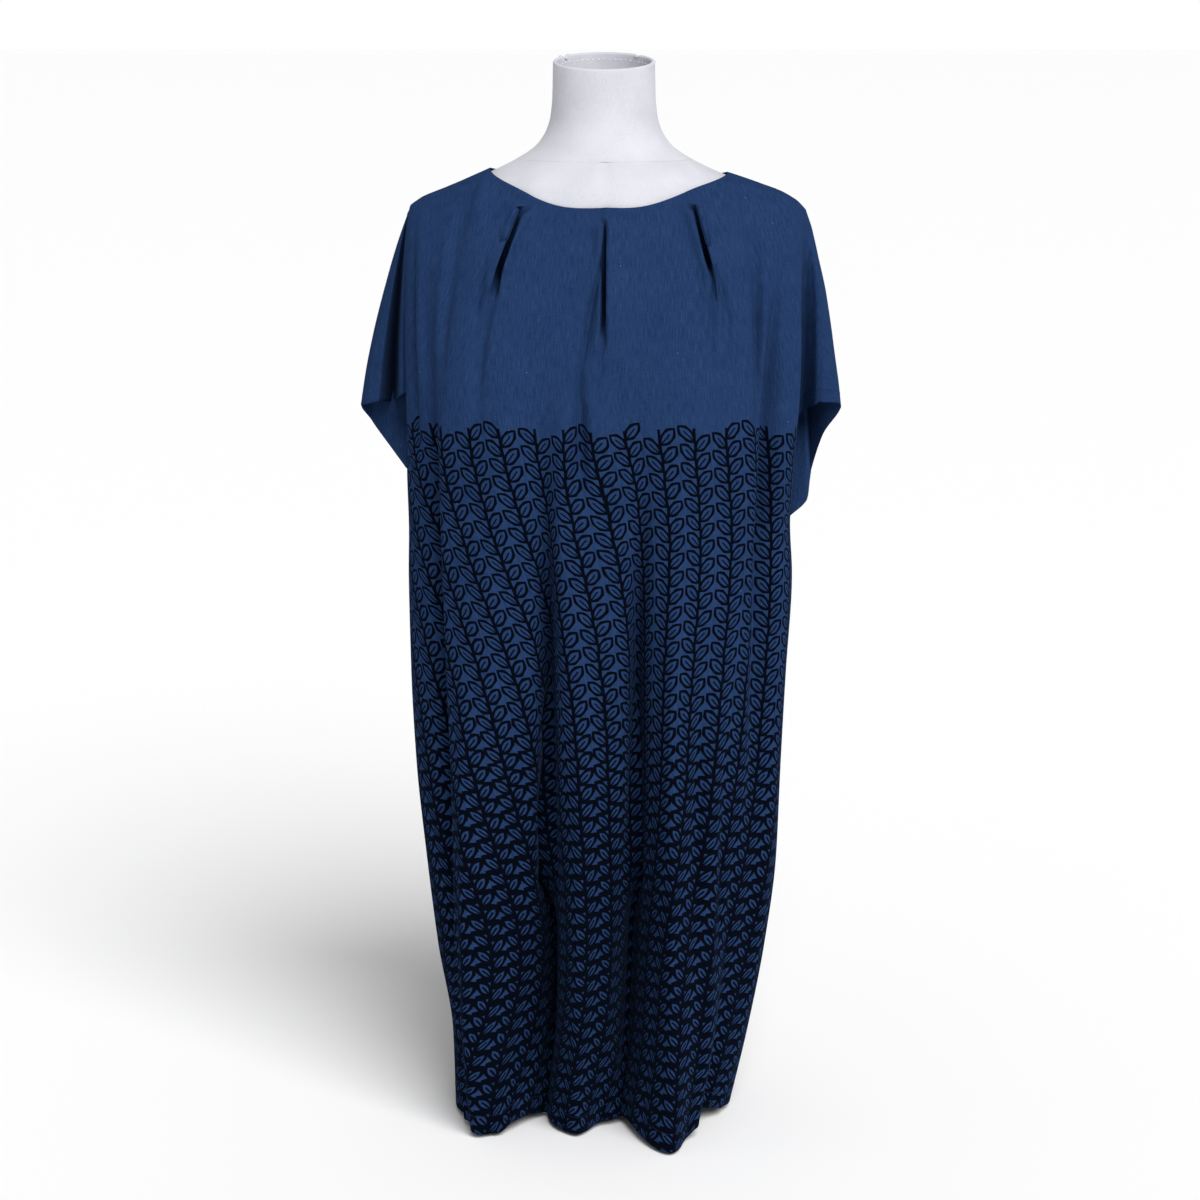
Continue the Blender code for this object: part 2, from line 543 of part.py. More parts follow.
def make_panel(name, panel, sleeves, sleeve_hems, material):
    points, levels = panel_grid(panel, TOP_SHARES, HANGING_ROWS)
    mesh = bmesh.new()
    verts = add_grid(mesh, points, panel.facing)
    across_seam = {}
    for row, z in zip(verts, levels):
        for side, vert in (("left", row[0]), ("right", row[-1])):
            if z <= UNDERARM_Z[side] + 1e-6:
                across_seam[vert] = FORE_AND_AFT
    for vert, point in zip(verts[0], points[0]):
        if abs(point[0] - NECK_X) > NECK_HALF_WIDTH - 1e-4:
            across_seam[vert] = FORE_AND_AFT
    for side, column in (("left", 0), ("right", -1)):
        rows = sleeve_rows(points, levels, side, panel, sleeves[side], sleeve_hems[side])
        lines = []
        for row, body_row in zip(rows, verts):
            lines.append([(0.0, body_row[column])] + [(share, mesh.verts.new(point)) for share, point in row[1:]])
        for upper, lower in zip(lines, lines[1:]):
            bridge(mesh, upper, lower, (side == "right") == (panel.facing > 0))
        for line in lines[1:]:
            across_seam[line[-1][1]] = OVERARM_ACROSS[side]
    thicken(mesh, WALL, across_seam)
    return finish_object(name, mesh, material, CLOTH_SHARP_ANGLE)


# ---- The dress form and its stand --------------------------------------------------------------------------
def ring_points(ring, sides):
    points = []
    for k in range(sides):
        angle = 2 * math.pi * k / sides
        reach = ring.front if math.cos(angle) > 0 else ring.back
        points.append((ring.half_width * math.sin(angle), -reach * math.cos(angle), ring.z))
    return points


def loft(mesh, rings):
    """Bridges rings of points, each listed clockwise seen from above, from the first up to the last."""
    loops = [[mesh.verts.new(point) for point in ring] for ring in rings]
    for lower, upper in zip(loops, loops[1:]):
        for k in range(len(lower)):
            n = (k + 1) % len(lower)
            mesh.faces.new((lower[k], upper[k], upper[n], lower[n]))
    return loops


def make_torso(material):
    mesh = bmesh.new()
    loops = loft(mesh, [ring_points(ring, FORM_SIDES) for ring in TORSO_RINGS])
    mesh.faces.new(loops[0])
    mesh.faces.new(loops[-1])
    bmesh.ops.recalc_face_normals(mesh, faces=mesh.faces)
    return finish_object("form_torso", mesh, material)


def leaned(points, share):
    """Lowers the front of a ring and lifts its back."""
    return [(x, y, z + y * math.sin(NECK_TILT) * share) for x, y, z in points]


def make_neck(material):
    """The neck's tube: out up its side, over the rolled rim and down into the bore."""
    rings = []
    for ring in NECK_RINGS:
        share = ease(NECK_RINGS[1].z, NECK_RINGS[-1].z, ring.z)
        rings.append(leaned(ring_points(ring, FORM_SIDES), share))
    top = NECK_RINGS[-1]
    bore = (
        Ring(top.z + 0.7 * NECK_RIM_ROUND, *[top.front - 0.3 * NECK_RIM_ROUND] * 3),
        Ring(top.z + NECK_RIM_ROUND, *[top.front - NECK_RIM_ROUND] * 3),
        Ring(top.z + 0.7 * NECK_RIM_ROUND, *[NECK_BORE_RADIUS + 0.3 * NECK_RIM_ROUND] * 3),
        Ring(top.z, *[NECK_BORE_RADIUS] * 3),
        Ring(top.z - NECK_BORE_DEPTH, *[NECK_BORE_RADIUS] * 3),
    )
    rings += [leaned(ring_points(ring, FORM_SIDES), 1.0) for ring in bore]
    mesh = bmesh.new()
    loops = loft(mesh, rings)
    mesh.faces.new(loops[0])
    mesh.faces.new(loops[-1])
    bmesh.ops.recalc_face_normals(mesh, faces=mesh.faces)
    return finish_object("form_neck", mesh, material)


def turned_piece(name, profile, sides, material):
    """A solid turned about the stand's axis from a profile of (radius, z)."""
    mesh = bmesh.new()
    circle = [(math.sin(2 * math.pi * k / sides), math.cos(2 * math.pi * k / sides)) for k in range(sides)]
    loops = loft(mesh, [[(r * x, STAND_Y + r * y, z) for x, y in circle] for r, z in profile])
    mesh.faces.new(loops[0])
    mesh.faces.new(loops[-1])
    bmesh.ops.recalc_face_normals(mesh, faces=mesh.faces)
    return finish_object(name, mesh, material)


def foot_outline(inset, z, sides=40):
    """A flat-sided oval, inset all round."""
    straight = FOOT_HALF_LENGTH - FOOT_HALF_DEPTH
    radius = FOOT_HALF_DEPTH - inset
    points = []
    for k in range(sides):
        angle = 2 * math.pi * (k + 0.5) / sides
        x = radius * math.sin(angle)
        points.append((x + math.copysign(straight, x), STAND_Y + radius * math.cos(angle), z))
    return points


def make_foot(material):
    mesh = bmesh.new()
    levels = ((FOOT_EDGE / 2, 0.0), (0.0, FOOT_EDGE / 2), (0.0, FOOT_THICKNESS - FOOT_EDGE), (FOOT_EDGE, FOOT_THICKNESS))
    loops = loft(mesh, [foot_outline(inset, z) for inset, z in levels])
    mesh.faces.new(loops[0])
    mesh.faces.new(loops[-1])
    bmesh.ops.recalc_face_normals(mesh, faces=mesh.faces)
    return finish_object("stand_foot", mesh, material)


# ---- The whole object ------------------------------------------------------------------------------------
def back_edges():
    """The back's side edges: the front's, with the armhole set back."""
    edges = {}
    for side, front in FRONT_EDGES.items():
        behind = BACK_ARMHOLE_Y[side]
        edges[side] = tuple(
            Edge(e.z, e.x, behind * ease(UNDERARM_Z[side], SLEEVE_HEM_Z, e.z)) for e in front
        )
    return edges


def main():
    for obj in list(bpy.data.objects):
        bpy.data.objects.remove(obj)
    cloth = principled("tunic_cloth", CLOTH_BLUE, 0.85)
    cover = principled("form_cover", COVER_WHITE, 0.75)
    steel = principled("pole_steel", POLE_STEEL, 0.3, 1.0)
    foot = principled("foot_steel", FOOT_STEEL, 0.45, 0.6)

    front = Panel(-1, FRONT_FOLDS, FRONT_EDGES, FRONT_DEPTH, FRONT_NECK, PLEATS)
    back = Panel(1, BACK_FOLDS, back_edges(), BACK_DEPTH, BACK_NECK, ())
    level_hem = {"left": SLEEVE_HEM_Z, "right": SLEEVE_HEM_Z}
    make_panel("front", front, FRONT_SLEEVES, level_hem, cloth)
    make_panel("back", back, BACK_SLEEVES, UNDERARM_Z, cloth)

    make_torso(cover)
    make_neck(cover)
    torso_bottom = TORSO_RINGS[0].z - SEAM_GAP
    socket_bottom = torso_bottom - SOCKET_HEIGHT
    turned_piece("pole_socket", ((SOCKET_RADIUS - 0.002, socket_bottom), (SOCKET_RADIUS, socket_bottom + 0.002),
                                 (SOCKET_RADIUS, torso_bottom)), 24, steel)
    turned_piece("stand_pole", ((POLE_RADIUS, FOOT_THICKNESS + SEAM_GAP), (POLE_RADIUS, socket_bottom - SEAM_GAP)),
                 24, steel)
    make_foot(foot)


main()
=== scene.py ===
# %% [markdown]
# # A knee-length tunic on a limbless dress form
# The tunic is two pieces of thin woven cloth, a front and a back, each cut in one with its cap sleeves.
# They meet in the shoulder seams, which run on over the arms, and in the side seams. Three pleats take up
# the front's fullness at the wide neckline. The cloth hangs from the shoulders of a jersey-covered form.
# The frame holds the finished solids. This script gives each of them its real surface.

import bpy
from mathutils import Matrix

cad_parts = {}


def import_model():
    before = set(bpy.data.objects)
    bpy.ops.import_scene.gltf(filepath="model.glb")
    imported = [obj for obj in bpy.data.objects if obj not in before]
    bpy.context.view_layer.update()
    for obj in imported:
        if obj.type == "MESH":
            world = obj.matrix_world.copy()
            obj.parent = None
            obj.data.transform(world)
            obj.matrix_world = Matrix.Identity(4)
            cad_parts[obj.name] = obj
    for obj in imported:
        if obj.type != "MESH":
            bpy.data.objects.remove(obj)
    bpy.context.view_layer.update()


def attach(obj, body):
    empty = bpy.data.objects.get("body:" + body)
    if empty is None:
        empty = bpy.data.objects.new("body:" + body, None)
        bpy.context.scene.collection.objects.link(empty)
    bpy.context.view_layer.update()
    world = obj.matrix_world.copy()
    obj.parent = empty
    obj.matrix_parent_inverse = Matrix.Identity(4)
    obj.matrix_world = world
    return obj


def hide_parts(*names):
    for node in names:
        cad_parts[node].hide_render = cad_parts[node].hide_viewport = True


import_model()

# %% The libraries
import math
from collections import namedtuple

import bmesh
import bpy
import numpy as np
from mathutils import Vector


# %% Short ways to place things in the scene and in the frame
def placed(name, data):
    made = bpy.data.objects.new(name, data)
    bpy.context.collection.objects.link(made)
    return made


def mesh_object(name, mesh, *materials):
    data = bpy.data.meshes.new(name)
    mesh.to_mesh(data)
    mesh.free()
    data.shade_smooth()
    for material in materials:
        data.materials.append(material)
    return placed(name, data)


def into_frame(obj, node=None):
    """Every piece belongs to the one body. A piece may take the place of a node's solid."""
    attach(obj, "root")
    if node:
        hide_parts(node)


# %% [markdown]
# ## The camera
# A garment is best judged from where a buyer stands: in front, a little above, and far enough back that
# the sides don't bulge. A long lens on a camera tipped 12.5 degrees down gives that view.

# %% Set up the camera
IMAGE_WIDTH = 1200
FOCAL_PIXELS = 2651
ASIDE_PIXELS = -4
SENSOR = 36.0
CAMERA_PLACE = (0.0, -2.7, 1.162)
CAMERA_TIP = math.radians(12.53)

lens = bpy.data.cameras.new("front_camera")
lens.sensor_width = SENSOR
lens.lens = SENSOR * FOCAL_PIXELS / IMAGE_WIDTH
lens.shift_x = ASIDE_PIXELS / IMAGE_WIDTH
camera = placed("front_camera", lens)
camera.location = CAMERA_PLACE
camera.rotation_euler = (math.pi / 2 - CAMERA_TIP, 0.0, 0.0)
bpy.context.scene.camera = camera
bpy.context.scene.view_settings.view_transform = "Standard"

# %% [markdown]
# ## A short way to write node trees
# A woven, printed cloth is a chain of small sums: where a thread runs, how far a point is from a leaf's
# edge. Written node by node they would fill pages. These helpers turn each sum into one line, and what they
# make is an ordinary node tree that can be opened and changed in Blender's editors.


# %% The helpers
class Tree:
    """A node tree under construction."""

    def __init__(self, tree):
        self.tree = tree

    def feed(self, socket, value):
        if isinstance(value, bpy.types.NodeSocket):
            self.tree.links.new(value, socket)
        else:
            socket.default_value = value

    def node(self, kind, inputs=(), output=0, **settings):
        made = self.tree.nodes.new(kind)
        for name, value in settings.items():
            setattr(made, name, value)
        for socket, value in dict(inputs).items():
            self.feed(made.inputs[socket], value)
        return made.outputs[output]

    def sum(self, operation, *values):
        return self.node("ShaderNodeMath", dict(enumerate(values)), operation=operation)

    def plus(self, first, second):
        return self.sum("ADD", first, second)

    def minus(self, first, second):
        return self.sum("SUBTRACT", first, second)

    def times(self, first, second):
        return self.sum("MULTIPLY", first, second)

    def times_plus(self, first, second, added):
        return self.sum("MULTIPLY_ADD", first, second, added)

    def ramp(self, value, low, high, to_low=0.0, to_high=1.0):
        inputs = {"Value": value, "From Min": low, "From Max": high, "To Min": to_low, "To Max": to_high}
        return self.node("ShaderNodeMapRange", inputs, interpolation_type="SMOOTHSTEP")

    def blend(self, share, first, second):
        return self.node("ShaderNodeMix", {0: share, 6: first, 7: second}, 2, data_type="RGBA")

    def scaled(self, vector, scale):
        return self.node("ShaderNodeMapping", {"Vector": vector, "Scale": scale})

    def noise(self, vector, scale, detail=2.0, roughness=0.5):
        inputs = {"Vector": vector, "Scale": scale, "Detail": detail, "Roughness": roughness}
        return self.node("ShaderNodeTexNoise", inputs)


class Finish(Tree):
    """A Principled material under construction."""

    def __init__(self, name, values):
        self.material = bpy.data.materials.new(name)
        self.material.use_nodes = True
        super().__init__(self.material.node_tree)
        self.shader = self.tree.nodes["Principled BSDF"]
        for socket, value in values.items():
            self.set(socket, value)

    def set(self, socket, value):
        self.feed(self.shader.inputs[socket], value)

    def grain(self, scale, detail=2.0, roughness=0.5):
        """Fine noise that stays with the object."""
        where = self.node("ShaderNodeTexCoord", output=3)
        return self.noise(self.scaled(where, scale), 1.0, detail, roughness)

    def tint(self, tone, spread, dark, light):
        self.set("Base Color", self.blend(self.ramp(tone, *spread), dark, light))

    def bump(self, height, strength, distance):
        inputs = {"Height": height, "Strength": strength, "Distance": distance}
        self.set("Normal", self.node("ShaderNodeBump", inputs))


# %% [markdown]
# ## Light and floor
# Folds in dark cloth show only by their shading, so the light is soft but not flat. One very soft sun from
# the front right lights cloth and floor alike, and a bright room, lightest at eye level, fills the shade.
# The floor is a plain pale sheet, large enough to reach the horizon.

# %% Lay the floor and hang the light
FLOOR_HALF = 80.0
FLOOR_WHITE = (0.90, 0.90, 0.905, 1.0)
SUN_STRENGTH = 3.3
SUN_SOFTNESS = math.radians(38)
SUN_FROM = Vector((0.42, -0.95, 1.10))
ROOM_LEVEL, ROOM_AWAY = 1.0, 0.36  # the room's strength at eye level, and above and below it
ROOM_FADES = (0.03, 0.14)

floor_mesh = bpy.data.meshes.new("floor")
floor_corners = [(x * FLOOR_HALF, y * FLOOR_HALF, 0.0) for x, y in ((-1, -1), (1, -1), (1, 1), (-1, 1))]
floor_mesh.from_pydata(floor_corners, [], [(0, 1, 2, 3)])
floor_mesh.materials.append(Finish("floor_white", {"Roughness": 0.9, "Base Color": FLOOR_WHITE}).material)
placed("floor", floor_mesh)

sun = bpy.data.lights.new("soft_sun", "SUN")
sun.energy = SUN_STRENGTH
sun.angle = SUN_SOFTNESS
placed("soft_sun", sun).rotation_euler = SUN_FROM.to_track_quat("Z", "Y").to_euler()

room = bpy.data.worlds.new("bright_room")
room.use_nodes = True
sky = Tree(room.node_tree)
height = sky.node("ShaderNodeSeparateXYZ", {0: sky.node("ShaderNodeTexCoord")}, 2)
glow = sky.ramp(sky.sum("ABSOLUTE", height), *ROOM_FADES, ROOM_LEVEL, ROOM_AWAY)
background = room.node_tree.nodes["Background"].inputs
sky.feed(background["Strength"], glow)
sky.feed(background["Color"], (1.0, 1.0, 1.0, 1.0))
bpy.context.scene.world = room

# %% [markdown]
# ## The cloth's finish
# The cloth is a fine, matt navy weave. Uneven threads give it faint upright streaks, and a few pale fibres
# stick in it. Its lower three quarters carry a block print in near-black: upright stems with pairs of
# lens-shaped leaves, thin lines at the top that thicken into a dark ground towards the hem. The print
# could be a picture, but sums on the cloth's own flat coordinates stay sharp at any size and follow every
# fold. The UV map holds the flat cut in metres: U across from the middle, V up from the hem. Shade is
# painted into the colour of the deepest folds from a vertex attribute.

# %% Colours and sizes of the cloth
CLOTH_BLUE = (0.0092, 0.0240, 0.0740, 1.0)
CLOTH_PALE = (0.0190, 0.0440, 0.1160, 1.0)
FIBRE_PALE = (0.30, 0.36, 0.46, 1.0)
PRINT_INK = (0.0017, 0.0025, 0.0054, 1.0)
# near-black painted shade for the deepest folds, pleat gaps and sleeve troughs
PAINTED_FOLD_SHADE = (0.0007, 0.0013, 0.0040, 1.0)
SHEEN_BLUE = (0.30, 0.48, 0.95, 1.0)
CUT_MAP = "cut"
SHADE_MAP = "fold_shade"

STEM_PITCH = 0.034
STEM_STAGGER = 0.37
LEAF_PITCH = 0.0178
LEAF_LENGTH = 0.0205
LEAF_HALF_WIDTH = 0.0054
LEAF_START = 0.0012
LEAF_ANGLE = math.radians(43)  # from the stem
LEAF_FULLNESS = 2.2
VEIN_END = 0.35
VEIN_LINE, STALK_LINE = 0.42, 0.8  # shares of the outline's width
PRINT_TOP = 0.757
PRINT_FULL = 0.10
LINE_AT_TOP = 0.0017  # half widths of the printed line
LINE_AT_HEM = 0.0023
GROUND_GROWS = (0.30, 0.95)
GROUND_WIDTH = 0.0048
HAND_WOBBLE = 0.0034
SWAY_SCALE, LIFT_SCALE = 38.0, 47.0
INK_EDGE = 0.00035


# %% The printed leaves
def leaf_print(cloth, across, up):
    """How much ink lies at a point of the cloth, from 0 to 1."""

    def inked(over):
        return cloth.ramp(over, -INK_EDGE, INK_EDGE)

    def before(value, end):
        return cloth.sum("LESS_THAN", value, end)

    place = cloth.node("ShaderNodeCombineXYZ", {"X": across, "Y": up})
    sway = cloth.noise(place, SWAY_SCALE, 1.0)
    lift = cloth.noise(cloth.scaled(place, (1.0, -1.0, 1.0)), LIFT_SCALE, 1.0)
    across = cloth.times_plus(cloth.minus(sway, 0.5), HAND_WOBBLE, across)
    up = cloth.times_plus(cloth.minus(lift, 0.5), HAND_WOBBLE, up)

    stems = cloth.sum("DIVIDE", across, STEM_PITCH)
    stem = cloth.sum("FLOOR", stems)
    off_stem = cloth.minus(cloth.minus(stems, stem), 0.5)
    aside = cloth.times(cloth.sum("ABSOLUTE", off_stem), STEM_PITCH)
    right_side = cloth.sum("GREATER_THAN", off_stem, 0.0)
    stagger = cloth.times_plus(right_side, 0.5, cloth.times(stem, STEM_STAGGER))

    slope = 1 / math.tan(LEAF_ANGLE)
    leaves = cloth.plus(cloth.sum("DIVIDE", cloth.times_plus(aside, -slope, up), LEAF_PITCH), stagger)
    leaf = cloth.sum("FLOOR", leaves)
    off_leaf = cloth.times(cloth.minus(cloth.minus(leaves, leaf), 0.5), LEAF_PITCH)
    side = cloth.times(cloth.sum("ABSOLUTE", off_leaf), math.sin(LEAF_ANGLE))
    along = cloth.sum("DIVIDE", aside, math.sin(LEAF_ANGLE))
    along = cloth.times_plus(off_leaf, math.cos(LEAF_ANGLE), along)

    half = LEAF_LENGTH / 2
    middle_out = cloth.sum("DIVIDE", cloth.minus(along, LEAF_START + half), half)
    girth = cloth.minus(1.0, cloth.sum("POWER", cloth.sum("ABSOLUTE", middle_out), LEAF_FULLNESS))
    edge = cloth.times_plus(girth, -LEAF_HALF_WIDTH, side)
    base = cloth.times(cloth.minus(leaf, stagger), LEAF_PITCH)
    depth = cloth.ramp(up, PRINT_TOP, PRINT_FULL)
    line = cloth.ramp(depth, 0.0, 1.0, LINE_AT_TOP, LINE_AT_HEM)
    ground = cloth.ramp(depth, *GROUND_GROWS, 0.0, GROUND_WIDTH)

    inside = inked(cloth.minus(edge, cloth.times(line, -1.0)))
    outside = inked(cloth.minus(cloth.plus(line, ground), edge))
    vein = inked(cloth.times_plus(line, VEIN_LINE, cloth.times(side, -1.0)))
    vein = cloth.times(vein, before(middle_out, VEIN_END))
    stalk = inked(cloth.times_plus(line, STALK_LINE, cloth.times(aside, -1.0)))
    leaf_ink = cloth.sum("MAXIMUM", cloth.times(inside, outside), vein)
    leaf_ink = cloth.times(leaf_ink, before(base, PRINT_TOP - LEAF_PITCH))
    return cloth.sum("MAXIMUM", leaf_ink, cloth.times(stalk, before(up, PRINT_TOP)))


# %% The woven cloth, outside and inside
SLUB_GRAIN = (900.0, 70.0, 1.0)
WEFT_GRAIN = (120.0, 1100.0, 1.0)
CLOUD_SCALE = 24.0
SLUB_SHARE, WEFT_SHARE, CLOUD_SHARE = 0.75, 0.25, 0.12
WEAVE_SPREAD = (0.36, 0.78)
FIBRE_SCALE = 55.0
FIBRE_SIZE = 0.022
FIBRE_SHARE = 0.5
THIN_INK = (0.15, 0.40, 0.86, 1.0)  # two heights of the slubs, and how well each takes the ink
INSIDE_INK = 0.12
WEFT_HEIGHT = 0.7
WEAVE_BUMP = (0.55, 0.0004)


def woven(name, ink_share):
    sheen = {"Sheen Weight": 0.03, "Sheen Roughness": 0.45, "Sheen Tint": SHEEN_BLUE}
    cloth = Finish(name, {"Roughness": 0.78, "Specular IOR Level": 0.0, **sheen})
    cut = cloth.node("ShaderNodeUVMap", uv_map=CUT_MAP)
    across, up = [cloth.node("ShaderNodeSeparateXYZ", {0: cut}, axis) for axis in (0, 1)]
    slubs = cloth.noise(cloth.scaled(cut, SLUB_GRAIN), 1.0, 3.0, 0.6)
    weft = cloth.noise(cloth.scaled(cut, WEFT_GRAIN), 1.0)
    clouds = cloth.noise(cut, CLOUD_SCALE)
    tone = cloth.plus(cloth.times(slubs, SLUB_SHARE), cloth.times(weft, WEFT_SHARE))
    tone = cloth.times_plus(clouds, CLOUD_SHARE, tone)
    colour = cloth.blend(cloth.ramp(tone, *WEAVE_SPREAD), CLOTH_BLUE, CLOTH_PALE)
    cells = cloth.node("ShaderNodeTexVoronoi", {"Vector": cut, "Scale": FIBRE_SCALE}, "Distance")
    fibres = cloth.times(cloth.sum("LESS_THAN", cells, FIBRE_SIZE), FIBRE_SHARE)
    colour = cloth.blend(fibres, colour, FIBRE_PALE)
    ink = cloth.times(leaf_print(cloth, across, up), ink_share)
    worn = cloth.times(ink, cloth.ramp(slubs, *THIN_INK))
    # painted shade: the fold_shade attribute blends the printed colour towards near-black in deep folds
    shade = cloth.node("ShaderNodeAttribute", output=2, attribute_name=SHADE_MAP)
    cloth.set("Base Color", cloth.blend(shade, cloth.blend(worn, colour, PRINT_INK), PAINTED_FOLD_SHADE))
    cloth.bump(cloth.plus(slubs, cloth.times(weft, WEFT_HEIGHT)), *WEAVE_BUMP)
    return cloth.material


cloth_outside = woven("navy_weave_printed", 1.0)
cloth_inside = woven("navy_weave_inside", INSIDE_INK)
print("cloth nodes", len(cloth_outside.node_tree.nodes))

# %% [markdown]
# ## The shape of the hanging cloth
# Each panel is a grid. Its rows run round the body and its columns run from the neckline and shoulder
# seams down to the hem. A plain, squared half oval gives each row its place, and fold lines, each with its
# own table of places and depths, push the cloth in and out. A simulation could drape it too, but the folds
# of a hanging dress are few and known, and tables put each of them exactly where it hangs.
#
# Tables are written in millimetres, which a maker reads at a glance. Single values are in metres.

# %% How tables are read
MM = 0.001
SIDES = {"left": 0, "right": -1}  # each side's column in a panel's grid


def side_of(x):
    return "left" if x < 0 else "right"


def mm(value):
    """Turns a number or a table of numbers from millimetres into metres."""
    return tuple(mm(part) for part in value) if isinstance(value, (tuple, list)) else value * MM


def table(kind, plain, *rows):
    """Rows with named columns. All but the first few, plain ones are in millimetres."""
    return [kind(*row[:plain], *mm(row[plain:])) for row in rows]


# %% The garment's sizes
CLOTH_THICKNESS = 0.0009
SEAM_HALF_GAP = -0.00005
SQUARENESS = 2.4
HEM_Z = 0.006
JOIN_Z = 0.892
TOP_LEVEL = 0.975
SLEEVE_HEM_Z = 0.784
UNDERARM_Z = {"left": 0.700, "right": 0.650}
NECK_X = 0.002
NECK_HALF_WIDTH = {"left": 0.116, "right": 0.122}
NECK_CLEARANCE = 0.0024
SHOULDER_Y = 0.002
SHOULDER_TIP = {"left": (-0.195, 0.971), "right": (0.204, 0.966)}
Rise = namedtuple("Rise", "share up")
SHOULDER_RISE = {
    "left": table(Rise, 1, (0, 0), (0.34, 0.2), (0.54, 0.8), (0.84, 2.4), (0.94, 1.2), (1, 0)),
    "right": table(Rise, 1, (0, 0), (0.24, 2.6), (0.45, 4.6), (0.7, 6.6), (0.87, 5.4), (0.96, 2.2), (1, 0)),
}
LEVELS = (TOP_LEVEL, 0.90, 0.80, 0.68, 0.55, 0.40, 0.25, 0.12, HEM_Z)

# %% [markdown]
# ### Fold lines
# A row of the table is one fold line: its name, the mesh cells to the next line, where it lies on nine
# levels from the neckline to the hem, and how far it stands out there, with a minus for a valley.

# %% The front's and the back's fold lines
Fold = namedtuple("Fold", "name cells x out", defaults=((), ()))
SIDE_CELLS = 3


def fold_lines(*rows):
    return [Fold("left side", SIDE_CELLS), *table(Fold, 2, *rows), Fold("right side", 0)]


FRONT_FOLDS = fold_lines(
    ("left side valley", 3, (-165, -180, -183, -184, -179, -168, -163, -156, -151),
     (0, -3, -7, -11, -12, -10, -5, -1, -1)),
    ("left neck point", 3, (-116, -146, -155, -158, -158, -154, -151, -150, -141),
     (0, 1, 2, 3, 4, 6, 8, 9, 9)),
    ("left pleat", 4, (-74.5, -108, -127, -124, -127, -134, -134, -128, -117),
     (0, 2, 3, 4, 5, 5, 8, 16, 26)),
    ("main left valley", 4, (-45, -60, -66, -65, -64, -62, -62, -70, -84),
     (0, -1, -3, -6, -10, -16, -26, -37, -46)),
    ("centre crease", 3, (-14, -18, -31, -42, -33, -26, -23, -25, -28), (0, 0, 0, 2, 3, 5, 4, -4, -14)),
    ("centre pleat", 5, (2, 2, 1, 24, 36, 37, 35, 31, 10), (0, 0, -2, -5, -9, -13, -22, -32, -40)),
    ("right crest", 3, (68, 74, 74, 74, 69, 67, 66, 65, 60), (0, 2, 4, 5, 8, 12, 22, 33, 41)),
    ("right pleat", 3, (83.5, 108, 117, 115, 112, 110, 108, 103, 90), (0, 0, 1, 1, 3, 7, 12, 15, 13)),
    ("right neck point", 3, (122, 142, 146, 147, 145, 141, 135, 127, 111),
     (0, -2, -1, 0, -2, -3, -6, -11, -18)),
    ("right soft fold", 3, (158, 160, 162, 164, 165, 162, 154, 142, 123),
     (0, 1, -3, -6, -7, -7, -7, -8, -12)),
    ("right side fold", 3, (182, 182, 182, 181, 182, 177, 170, 156, 133), (0, 4, 5, 2, 2, 2, 1, -2, -6)),
)
BACK_FOLDS = fold_lines(
    ("left shoulder fold", 3, (-165, -184, -186, -184, -182, -176, -166, -152, -140),
     (0, 3, 5, 3, 2, 3, 6, 10, 12)),
    ("left neck point", 4, (-116, -140, -142, -142, -140, -134, -126, -114, -106),
     (0, -1, -2, -3, -5, -5, -10, -18, -24)),
    ("left blade crest", 4, (-75, -78, -80, -82, -84, -82, -76, -70, -62), (0, 2, 3, 4, 6, 8, 13, 20, 26)),
    ("middle valley", 5, (-12, -14, -16, -17, -18, -18, -14, -12, -10),
     (0, -1, -2, -3, -5, -4, -14, -24, -32)),
    ("right blade crest", 5, (62, 64, 66, 66, 64, 60, 56, 50, 44), (0, 2, 3, 3, 5, 7, 12, 18, 22)),
    ("right neck point", 3, (122, 138, 140, 138, 132, 124, 112, 100, 92),
     (0, -1, -2, -3, -5, -5, -10, -17, -22)),
    ("right shoulder fold", 3, (175, 186, 186, 182, 176, 168, 158, 142, 124),
     (0, 3, 4, 3, 3, 4, 7, 10, 12)),
)

# %% [markdown]
# ### Pleats
# A pleat sits on a fold line, and its lap points left or right. Its columns say how high the lap stands, how
# far it slides over, at which heights it is closed and has opened, how deep the gap beside it is, where the
# gap starts, is dark and fades out, and how high the lip beyond it stands. The gap's darkness is partly its
# depth and partly painted shade.

# %% The neckline's three pleats
Pleat = namedtuple("Pleat", "fold lap high over closed open_ gap top dark fades lip")
PLEATS = table(
    Pleat, 2,
    ("left pleat", "left", 10.5, 5.6, 922, 868, 26, 970.5, 915, 884, 8.5),
    ("centre pleat", "right", 8.5, 4.2, 885, 800, 26, 967, 890, 845, 5.5),
    ("right pleat", "right", 8.5, 4, 920, 850, 26, 970.5, 930, 903, 7),
)
GAP_WIDTH = (0.0007, 0.0034)
GAP_GROWS = 0.050
LIP_AWAY = 0.0052
LIP_WIDTH = 0.0052
GAP_STARTS = 0.012
GAP_CROWDING = 1.7
PLEAT_STITCHED = 0.25
PLEAT_STITCHING = 0.014
PLEAT_PITCH = 0.003
PLEAT_TUCKED = 2 * PLEAT_PITCH - 0.0005  # how far the hidden cloth slides under the lap
LAP_RISE = 0.022
# painted shade in a pleat's gap: its strength, and how much wider than the gap it spreads
PLEAT_SHADE = 0.80
SHADE_WIDER = 0.0004
PLEAT_SLIDES = 0.030
GAP_POWER = 4  # gives the gap steep sides
TURN_DEPTH = 0.5

